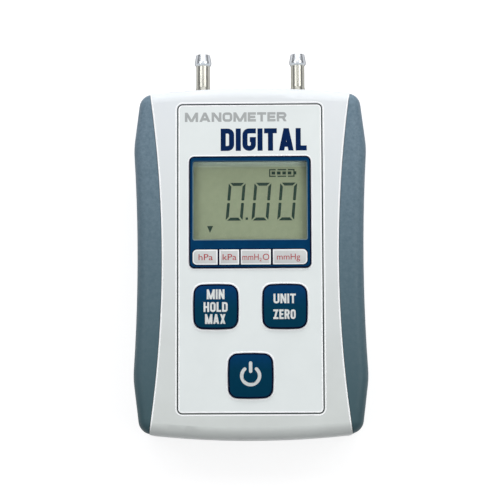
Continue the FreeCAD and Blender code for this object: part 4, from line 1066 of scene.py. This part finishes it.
@dataclass
class Casing:
    """The trims of the covers: the label's edge and words, the grips' edges and the door's arrow.

    Attributes that aren't plain lengths:
        seam_offset: Way from the seam to the line's middle, in half widths of the line.
        seam_fade: How many times one fading end goes into half of the line.
        seam_least: Square of the least share of width and height at the ends.
        seam_drop: How far down the cover's rounding the line may go, as a share of its radius.
    """

    label_corner: float = 1.5 * MM
    # A painted shadow in the gap round the label, and a painted highlight line on each side of it
    label_lines: tuple[EdgeLine, ...] = (
        EdgeLine("label_gap_shadow", 0.15, 0.21, 0.04, 0.04, GAP_SHADE, "label_film"),
        EdgeLine("label_inner_highlight", -0.35, 0.2, -0.01, 0.05, EDGE_HIGHLIGHT, "label_film"),
        EdgeLine("label_outer_highlight", 0.75, 0.2, 0.04, 0.06, EDGE_HIGHLIGHT, "label_film"))
    ink: float = 0.02 * MM
    title: Print = Print("MANOMETER", -22.49, 12.78, 48.52, 51.78,
                         BlockLetters(stroke=0.265, bend=0.22, gap=0.12))
    subject: Print = Print("DIGITAL", -10.06, 19.65, 38.28, 46.12,
                           BlockLetters(stroke=0.225, bend=0.17, gap=0.07))
    seam_radius: float = 410.15 * MM
    seam_centre: float = 440.5 * MM
    seam_half_width: float = 0.25 * MM
    seam_reach: float = 59.0 * MM
    seam_rise: float = 0.11 * MM
    seam_sink: float = 0.03 * MM
    seam_offset: float = 1.15
    seam_fade: float = 10.0
    seam_least: float = 0.02
    seam_drop: float = 0.98
    cover_round: float = 4.1 * MM
    end_radius: float = 330.0 * MM
    arrow: tuple[tuple[float, float], ...] = ((0.0, -26.5), (4.5, -22.0), (1.6, -22.0),
                                              (1.6, -19.5), (-1.6, -19.5), (-1.6, -22.0),
                                              (-4.5, -22.0))
    arrow_rise: float = 0.15 * MM
    arrow_edge: float = 0.05 * MM

    def build(self) -> None:
        """Make the label's edge and words, the lines along the grips and the door's arrow."""
        self.build_label()
        self.build_seams()
        self.build_arrow()
        log.info("casing: label edge, two printed words, two seam lines and the door's arrow")

    def build_label(self) -> None:
        """Make the painted shadow in the gap round the label, a painted highlight line on each side
        of it, and the words.
        """
        low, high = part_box("front_label")
        for line in self.label_lines:
            line.lay(low, high, self.label_corner, high.z)
        for name, text, finish in (("title_print", self.title, GREY_INK),
                                   ("subject_print", self.subject, NAVY_INK)):
            print_words(name, text, flat_level(high.z), self.ink, finish, "case")

    def build_seams(self) -> None:
        """Make the low line on the cover along each grip, painted near-white as a highlight on the
        cover's rounded edge at the seam.

        The line runs beside the seam's arc, x = c - sqrt(R^2 - y^2). Its height falls with the
        cover's rounded ends, z = top - r + sqrt(r^2 - d^2), with d the way past the flat part,
        and its width and height fade over the last tenth at both ends.
        """
        _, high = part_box("front_cover")
        y = np.linspace(-self.seam_reach, self.seam_reach, SEAM_STEPS)
        x = (self.seam_centre - np.sqrt(self.seam_radius**2 - y**2)
             - self.seam_offset * self.seam_half_width)
        end = high.y - x**2 / (2 * self.end_radius) - self.cover_round
        past = np.clip(np.abs(y) - end, 0.0, self.seam_drop * self.cover_round)
        level = high.z - self.cover_round + np.sqrt(self.cover_round**2 - past**2)
        fade = np.sqrt(np.clip((1 - np.abs(y) / self.seam_reach) * self.seam_fade,
                               self.seam_least, 1.0))
        for side, name in ((1, "right_seam_highlight"), (-1, "left_seam_highlight")):
            line = bead(np.column_stack([side * x, side * y]), self.seam_half_width * fade,
                        level - self.seam_sink, self.seam_rise * fade, closed=False)
            add_piece(name, line, EDGE_HIGHLIGHT, "case")

    def build_arrow(self) -> None:
        """Make the moulded arrow that shows which way the battery door slides.

        It is drawn facing up and then turned over about the Y axis onto the door.
        """
        face = -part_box("battery_door")[0].z
        points, faces = plate(np.array(self.arrow) * MM, face - self.arrow_edge,
                              face + self.arrow_rise, self.arrow_edge)
        add_piece("door_arrow", (points * [-1, 1, -1], faces), SLOT_FINISHES["case_plastic"],
                  "door")


@dataclass(frozen=True)
class PlateLayer:
    """One layer of the unit plates on the mask, sizes in millimetres.

    Attributes:
        inset: How far its edge lies inside the plate's.
        under: Height of its underside over the mask.
        over: Height of its upper face over the mask.
        edge: Radius of its upper edge.
        finish: Its finish.
        foot: Y of the plate's lower side.
        head: Y of the plate's upper side.
        least_corner: The smallest radius of a corner.
    """

    inset: float
    under: float
    over: float
    edge: float
    finish: Finish
    foot: float = -1.25
    head: float = 3.97
    least_corner: float = 0.1

    def lay(self, name: str, left: float, right: float, radii: Sequence[float],
            mask: float) -> None:
        """Lay the layer for one plate.

        Args:
            name: The piece's name.
            left: X of the plate's left side.
            right: X of its right side.
            radii: Radius of its upper right, upper left, lower left and lower right corner.
            mask: Height of the mask's face, in metres.
        """
        outline = rounded_outline(
            (right - left - 2 * self.inset) * MM, (self.head - self.foot - 2 * self.inset) * MM,
            [max(radius - self.inset, self.least_corner) * MM for radius in radii],
            ((left + right) / 2 * MM, (self.head + self.foot) / 2 * MM))
        add_piece(name, plate(outline, mask + self.under * MM, mask + self.over * MM,
                              self.edge * MM), self.finish, "case")


@dataclass
class Display:
    """The liquid crystal display with its segments, framed by the mask and the unit plates."""

    digit_height: float = 13.17 * MM
    digit_width: float = 5.85 * MM
    digit_pitch: float = 8.9 * MM
    first_digit: tuple[float, float] = (-5.0 * MM, 20.9 * MM)
    digit_count: int = 3
    lean: float = 0.088
    upright: float = 1.0 * MM
    level_bar: float = 1.05 * MM
    mitre_gap: float = 0.3 * MM
    middle_gap: float = 0.8 * MM
    point_place: tuple[float, float] = (-1.17 * MM, 14.98 * MM)
    point_size: float = 0.84 * MM
    point_corner: float = 0.1 * MM
    arrow: tuple[tuple[float, float], ...] = ((-13.9, 10.1), (-12.8, 12.5), (-14.9, 12.5))
    segment_height: float = 0.03 * MM
    segment_sink: float = 0.01 * MM
    # The bed's dark layer is painted shade that shows in the gaps between the plates
    bed: PlateLayer = PlateLayer(-0.3, -0.02, 0.02, 0.015, EDGE_SHADE)
    rim: PlateLayer = PlateLayer(0.0, -0.02, 0.05, 0.03, PLATE_EDGE)
    face: PlateLayer = PlateLayer(0.45, 0.03, 0.07, 0.015, PLATE_FACE)
    plates: tuple[tuple[float, float], ...] = ((-19.75, -11.18), (-10.57, -3.81), (-3.21, 7.05),
                                               (7.78, 19.55))
    outer_corner: float = 1.5
    inner_corner: float = 0.15
    ink: float = 0.02 * MM
    units: tuple[tuple[str, Print], ...] = (
        ("unit_hPa", Print("hPa", -17.7, -12.8, 0.3, 2.4)),
        ("unit_kPa", Print("kPa", -9.45, -4.7, 0.3, 2.4)),
        ("unit_mmHg", Print("mmHg", 9.15, 17.1, -0.3, 2.4)),
        ("unit_water_column", Print("mmH", -2.68, 2.9, 0.3, 2.4)),
        ("unit_water_two", Print("2", 3.15, 3.95, -0.15, 1.0)),
        ("unit_water_oxygen", Print("O", 4.3, 6.55, 0.25, 2.45)))
    mask_half_width: float = 20.87 * MM
    mask_corner: float = 1.7 * MM
    # A painted highlight line round the mask, and painted shade on its outer edge
    mask_line: EdgeLine = EdgeLine("mask_highlight_line", 0.37, 0.26, 0.0, 0.07, EDGE_HIGHLIGHT,
                                   "label_film")
    mask_edge: EdgeLine = EdgeLine("mask_edge_shade", -0.16, 0.26, -0.02, 0.05, EDGE_SHADE,
                                   "mask_print")
    opening: tuple[tuple[float, float], ...] = ((-19.65 * MM, 7.3 * MM), (19.65 * MM, 34.7 * MM))
    opening_corner: float = 0.5 * MM
    # The opening's edge is painted shade at the top and painted highlight at the bottom
    opening_edge: EdgeLine = EdgeLine("mask_opening_edge", 0.0, 0.16, -0.12, 0.14, OPENING_LIGHT_AND_SHADE,
                                      "mask_print")

    def build(self) -> None:
        """Make the segments, the unit plates and the mask's edges."""
        self.build_segments()
        self.build_plates()
        self.build_edges()

    def digit_segments(self) -> list[Array]:
        """Draw the six lit segments of a nought about its own middle, upright.

        With w and h half of the digit's width and height and c the cut at a bar's ends, the top
        bar is a trapezium from (-w + c, h) to (w - c, h) whose lower edge is one bar narrower at
        both ends. Each upright runs from its mitre at the bar to its tip at the middle gap. The
        lower half mirrors the upper half.

        Returns:
            The outlines, each of shape (n, 2), counter-clockwise.
        """
        w, h = self.digit_width / 2, self.digit_height / 2
        bar, post, gap = self.level_bar, self.upright, self.middle_gap / 2
        cut = self.mitre_gap + 0.2 * bar
        mitre, tip = h - 0.3 * bar, gap + 0.2 * post
        top = np.array([[w - cut, h], [-w + cut, h], [-w + cut + bar, h - bar],
                        [w - cut - bar, h - bar]])
        right = np.array([[w, tip], [w, h - 0.35 * bar], [w - 0.15 * post, mitre],
                          [w - post, mitre - bar], [w - post, tip], [w - 0.75 * post, gap],
                          [w - 0.25 * post, gap]])
        upper = [top, right, right[::-1] * [-1, 1]]
        return upper + [outline[::-1] * [1, -1] for outline in upper]

    def slanted(self, outline: Array, centre: tuple[float, float]) -> Array:
        """Lean an outline and move it to its place: x' = x + lean * y + cx, y' = y + cy."""
        return outline + outline[:, 1:] * [self.lean, 0.0] + np.asarray(centre)

    def battery_sign(self) -> list[Array]:
        """Draw the battery sign: a broken frame, a cap and four bars.

        Returns:
            The outlines of its strokes.
        """
        left, right, low, high = 6.6 * MM, 15.4 * MM, 29.5 * MM, 32.2 * MM
        thin, cap, margin = 0.42 * MM, 0.6 * MM, 0.84 * MM
        bar, pitch, count = 1.25 * MM, 1.87 * MM, 4
        width, height = right - left, high - low
        bar_low, bar_high = low + 0.3 * height, low + 0.7 * height
        frame = [rectangle(left + start * width, left + end * width, y, y + thin)
                 for start, end in ((0.0, 0.26), (0.33, 0.67), (0.74, 1.0))
                 for y in (low, high - thin)]
        sides = [rectangle(x, x + thin, low, high) for x in (left, right - thin)]
        bars = [rectangle(x, x + bar, bar_low, bar_high)
                for x in (left + margin + index * pitch for index in range(count))]
        return frame + sides + [rectangle(right, right + cap, bar_low, bar_high)] + bars

    def build_segments(self) -> None:
        """Make every lit segment a hair above the display's glass, joined in three pieces."""
        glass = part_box("lcd_cell")[1].z
        digits = [self.slanted(outline, (self.first_digit[0] + index * self.digit_pitch,
                                         self.first_digit[1]))
                  for index in range(self.digit_count) for outline in self.digit_segments()]
        point = rounded_outline(self.point_size, self.point_size, [self.point_corner] * 4,
                                self.point_place, steps=3)
        for name, outlines in (("display_digits", digits + [point]),
                               ("display_battery_sign", self.battery_sign()),
                               ("display_unit_arrow", [np.array(self.arrow) * MM])):
            lit = [prism(outline, glass - self.segment_sink, glass + self.segment_height)
                   for outline in outlines]
            add_piece(name, joined(lit), SEGMENT_INK, "case", smooth=False)
        log.info("display: %d digits, battery sign and unit arrow", self.digit_count)

    def build_plates(self) -> None:
        """Make the four unit plates on the mask: a dark bed that paints shade in the gaps between
        them, light rims, faces and red words.
        """
        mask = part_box("display_mask")[1].z
        self.bed.lay("unit_gap_shade", self.plates[0][0], self.plates[-1][1], [self.outer_corner] * 4,
                     mask)
        for index, (left, right) in enumerate(self.plates):
            first = self.outer_corner if index == 0 else self.inner_corner
            last = self.outer_corner if index == len(self.plates) - 1 else self.inner_corner
            for name, layer in (("unit_plate", self.rim), ("unit_face", self.face)):
                layer.lay(f"{name}_{index + 1}", left, right, [last, first, first, last], mask)
        level = flat_level(mask + self.face.over * MM)
        for name, text in self.units:
            print_words(name, text, level, self.ink, RED_INK, "case")
        log.info("display: %d unit plates", len(self.plates))

    def build_edges(self) -> None:
        """Make the painted highlight line round the mask, the painted shade on its outer edge, and
        its opening's edge, painted as shade at the top and as a highlight at the bottom.
        """
        low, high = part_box("display_mask")
        sides = ((-self.mask_half_width, low.y), (self.mask_half_width, high.y))
        self.mask_line.lay(*sides, self.mask_corner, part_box("front_label")[1].z)
        self.mask_edge.lay(*sides, self.mask_corner, high.z)
        self.opening_edge.lay(*self.opening, self.opening_corner, high.z)


@dataclass
class Keypad:
    """The three keys' legends, the painted shade on their edges, and the painted highlight line
    round each on the label.
    """

    key_width: float = 15.25 * MM
    side_radius: float = 85.0 * MM
    key_corner: float = 2.6 * MM
    crown_radius: float = 110.0 * MM
    # The keys' edges are painted shade, and the lines round them are painted highlights
    edge_inset: float = 0.25 * MM
    edge_half_width: float = 0.34 * MM
    edge_sink: float = 0.05 * MM
    edge_rise: float = 0.08 * MM
    line_gap: float = 0.14 * MM
    line_half_width: float = 0.3 * MM
    line_sink: float = 0.01 * MM
    line_rise: float = 0.12 * MM
    ink: float = 0.012 * MM
    sign_ink: float = 0.024 * MM
    ring_radius: float = 3.03 * MM
    ring_half_width: float = 0.58 * MM
    ring_opening: float = math.radians(41)
    bar_reach: tuple[float, float] = (1.5 * MM, 4.32 * MM)
    legends: tuple[tuple[str, Print], ...] = (
        ("left_key", Print("MIN", -14.9, -8.8, -13.15, -9.75, BlockLetters(gap=0.09))),
        ("left_key", Print("HOLD", -16.0, -7.75, -17.5, -14.15, BlockLetters(gap=0.09))),
        ("left_key", Print("MAX", -15.5, -8.5, -21.6, -18.25, BlockLetters(gap=0.06))),
        ("right_key", Print("UNIT", 7.9, 15.5, -14.65, -11.35, BlockLetters(gap=0.09))),
        ("right_key", Print("ZERO", 7.8, 15.45, -20.05, -16.75, BlockLetters(gap=0.09))))

    def build(self) -> None:
        """Make the keys' edges, print their legends and raise the power sign."""
        self.build_edges()
        for key, text in self.legends:
            print_words(f"{key}_{text.words}", text, self.level(key), self.ink, SILVER_INK,
                        f"{key}_unit")
        self.build_power_sign()
        log.info("keypad: %d legends and the power sign", len(self.legends))

    def middle(self, key: str) -> tuple[float, float]:
        """Return X and Y of a key's middle."""
        low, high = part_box(key)
        middle = (low + high) / 2
        return middle.x, middle.y

    def level(self, key: str) -> Level:
        """Return the height of a key's crowned top as a function of the place."""
        return crown_level(self.middle(key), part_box(key)[1].z, self.crown_radius)

    def outline(self, key: str, out: float) -> Array:
        """Draw a key's bowed outline, moved outwards by a distance."""
        return bowed_outline(self.key_width + 2 * out, self.side_radius, self.key_corner + out,
                             self.middle(key))

    def build_edges(self) -> None:
        """Make the painted shade lip on each key's cap and the painted highlight line round it on
        the label.
        """
        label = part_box("front_label")[1].z
        for key in ("left_key", "right_key", "power_key"):
            lip = self.outline(key, -self.edge_inset)
            add_piece(f"{key}_edge", bead(lip, self.edge_half_width,
                                          self.level(key)(lip) - self.edge_sink, self.edge_rise),
                      EDGE_SHADE, f"{key}_unit")
            line = self.outline(key, self.line_gap + self.line_half_width)
            add_piece(f"{key}_line", bead(line, self.line_half_width, label - self.line_sink,
                                          self.line_rise), EDGE_HIGHLIGHT, "case")

    def build_power_sign(self) -> None:
        """Make the power sign: an open ring and a bar through its opening.

        The ring's middle line is centre + radius * (cos t, sin t), for t from the opening's
        left side round to its right side.
        """
        turn = np.linspace(math.pi / 2 + self.ring_opening, 2.5 * math.pi - self.ring_opening,
                           POWER_RING_STEPS)
        ring = self.ring_radius * np.stack([np.cos(turn), np.sin(turn)], axis=1)
        bar = np.array([[0.0, y] for y in np.linspace(*self.bar_reach, POWER_BAR_STEPS)])
        level = self.level("power_key")
        for name, path in (("power_ring", ring), ("power_bar", bar)):
            outline = stroke_outline(path + self.middle("power_key"), self.ring_half_width)
            height = level(outline)
            add_piece(name, prism(outline, height - self.sign_ink, height + self.sign_ink),
                      SIGN_INK, "power_key_unit", smooth=False)


# Room, light and camera


def looking(place: Sequence[float], aim: Sequence[float]) -> Matrix:
    """Place something so that it looks at a point, with its top towards +Y.

    Its Z axis is the unit vector back from the aim, its Y axis is the part of +Y that is square
    to that, and its X axis is their cross product.

    Args:
        place: Where it is.
        aim: The point that it looks at.

    Returns:
        The matrix of its place and turn.
    """
    back = (Vector(place) - Vector(aim)).normalized()
    up = (Vector((0, 1, 0)) - back * back.y).normalized()
    turn = Matrix((up.cross(back), up, back)).transposed().to_4x4()
    return Matrix.Translation(place) @ turn


@dataclass(frozen=True)
class Softbox:
    """A rectangular lamp that the camera doesn't see.

    Attributes:
        name: The lamp's name.
        place: Where it hangs.
        size: Its width and length in metres.
        power: Its power in watts.
        colour: The colour of its light.
    """

    name: str
    place: tuple[float, float, float]
    size: tuple[float, float]
    power: float
    colour: Colour = (1.0, 1.0, 1.0)

    def hang(self, aim: Sequence[float]) -> None:
        """Hang the lamp so that it faces a point."""
        lamp = bpy.data.lights.new(self.name, "AREA")
        lamp.shape = "RECTANGLE"
        lamp.size, lamp.size_y = self.size
        lamp.energy = self.power
        lamp.color = self.colour
        holder = bpy.data.objects.new(self.name, lamp)
        holder.matrix_world = looking(self.place, aim)
        holder.visible_camera = False
        bpy.context.scene.collection.objects.link(holder)


@dataclass
class Studio:
    """A plain pale floor, soft lamps on both sides and past the ports, and the viewpoint.

    To the camera, to mirrors and through glass the floor glows with the strength seen_glow and
    reflects seen_colour. To every other ray it reflects floor_colour.
    """

    camera_place: tuple[float, float, float] = (0.011, -0.0701, 0.6581)
    aim: tuple[float, float, float] = (-0.00007, 0.0038, 0.032)
    roll: float = math.radians(0.22)
    lens: float = 132.4
    sensor: float = 36.0
    floor_size: float = 12.0
    floor_gap: float = 0.2 * MM
    floor_colour: Colour = (0.85, 0.85, 0.86)
    seen_glow: float = 0.8
    seen_colour: Colour = (0.33, 0.33, 0.335)
    lit_point: tuple[float, float, float] = (0.0, 0.0, 0.02)
    softboxes: tuple[Softbox, ...] = (
        Softbox("left_softbox", (-0.58, 0.0, 0.82), (0.44, 1.0), 1.9),
        Softbox("right_softbox", (0.62, 0.0, 0.8), (0.44, 1.0), 3.0, (1.0, 0.99, 0.96)),
        Softbox("upper_softbox", (0.0, 0.55, 1.0), (2.2, 0.4), 7.8),
        Softbox("low_softbox", (0.0, 0.95, 0.38), (1.2, 0.3), 4.9))
    room_colour: Colour = (0.93, 0.95, 1.0)
    room_strength: float = 0.18

    def build(self) -> None:
        """Make the floor, the lights, the world and the camera."""
        self.build_floor()
        for softbox in self.softboxes:
            softbox.hang(self.lit_point)
        self.build_world()
        self.build_camera()
        log.info("studio: floor, lights and camera")

    def build_floor(self) -> None:
        """Lay the floor just under the case.

        It is white to the camera, to mirrors and through glass, and pale to every other ray.
        """
        half = self.floor_size / 2
        corners = np.column_stack([rectangle(-half, half, -half, half),
                                   np.full(4, -self.floor_gap)])
        mesh = bpy.data.meshes.new("floor")
        mesh.from_pydata(corners.tolist(), [], [[0, 1, 2, 3]])
        floor = bpy.data.objects.new("floor", mesh)
        bpy.context.scene.collection.objects.link(floor)
        made, graph = new_material("floor paper")
        path = graph.add("LightPath").outputs
        indirect = graph.join("Math", path["Is Glossy Ray"], path["Is Transmission Ray"],
                              operation="MAXIMUM")
        seen = graph.join("Math", path["Is Camera Ray"], indirect, operation="MAXIMUM")
        pale = graph.add("BsdfDiffuse", Color=self.floor_colour)
        glow = graph.add("Emission", Color=(1.0, 1.0, 1.0), Strength=self.seen_glow)
        dim = graph.add("BsdfDiffuse", Color=self.seen_colour)
        lit = graph.join("AddShader", glow.outputs[0], dim.outputs[0])
        graph.add("OutputMaterial", Surface=graph.join("MixShader", seen, pale.outputs[0], lit))
        mesh.materials.append(made)

    def build_world(self) -> None:
        """Light the room evenly, a little darker than the softboxes."""
        world = bpy.data.worlds.new("studio")
        bpy.context.scene.world = world
        world.use_nodes = True
        graph = Graph(world.node_tree)
        back = graph.add("Background", Color=self.room_colour, Strength=self.room_strength)
        graph.add("OutputWorld", Surface=back.outputs[0])

    def build_camera(self) -> None:
        """Set the camera at the photograph's viewpoint, turned by its small roll."""
        lens = bpy.data.cameras.new("camera")
        lens.lens = self.lens
        lens.sensor_width = self.sensor
        camera = bpy.data.objects.new("camera", lens)
        rolled = Matrix.Rotation(-self.roll, 4, "Z")
        camera.matrix_world = looking(self.camera_place, self.aim) @ rolled
        bpy.context.scene.collection.objects.link(camera)
        bpy.context.scene.camera = camera


def clear_scene() -> None:
    """Remove Blender's start-up objects."""
    for item in list(bpy.data.objects):
        bpy.data.objects.remove(item)


def dress_nodes(frame: dict) -> None:
    """Give every CAD node the finish of its material slot.
    """
    slots = {part["node"]: part["material_slot"] for part in frame["record"]["subparts"]}
    for name, node in frame["nodes"].items():
        finish = NODE_FINISHES.get(name, SLOT_FINISHES[slots[name]])
        for holder in node.material_slots:
            holder.material = finish.material()
    log.info("dressed %d nodes", len(frame["nodes"]))


def main() -> None:
    """Build the whole scene in order."""
    logging.basicConfig(level=logging.INFO, format="%(name)s: %(message)s")
    clear_scene()
    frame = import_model()
    bpy.context.scene.view_settings.view_transform = "Standard"
    dress_nodes(frame)
    for part in (Casing(), Display(), Keypad(), Studio()):
        part.build()


if __name__ == "__main__":
    main()
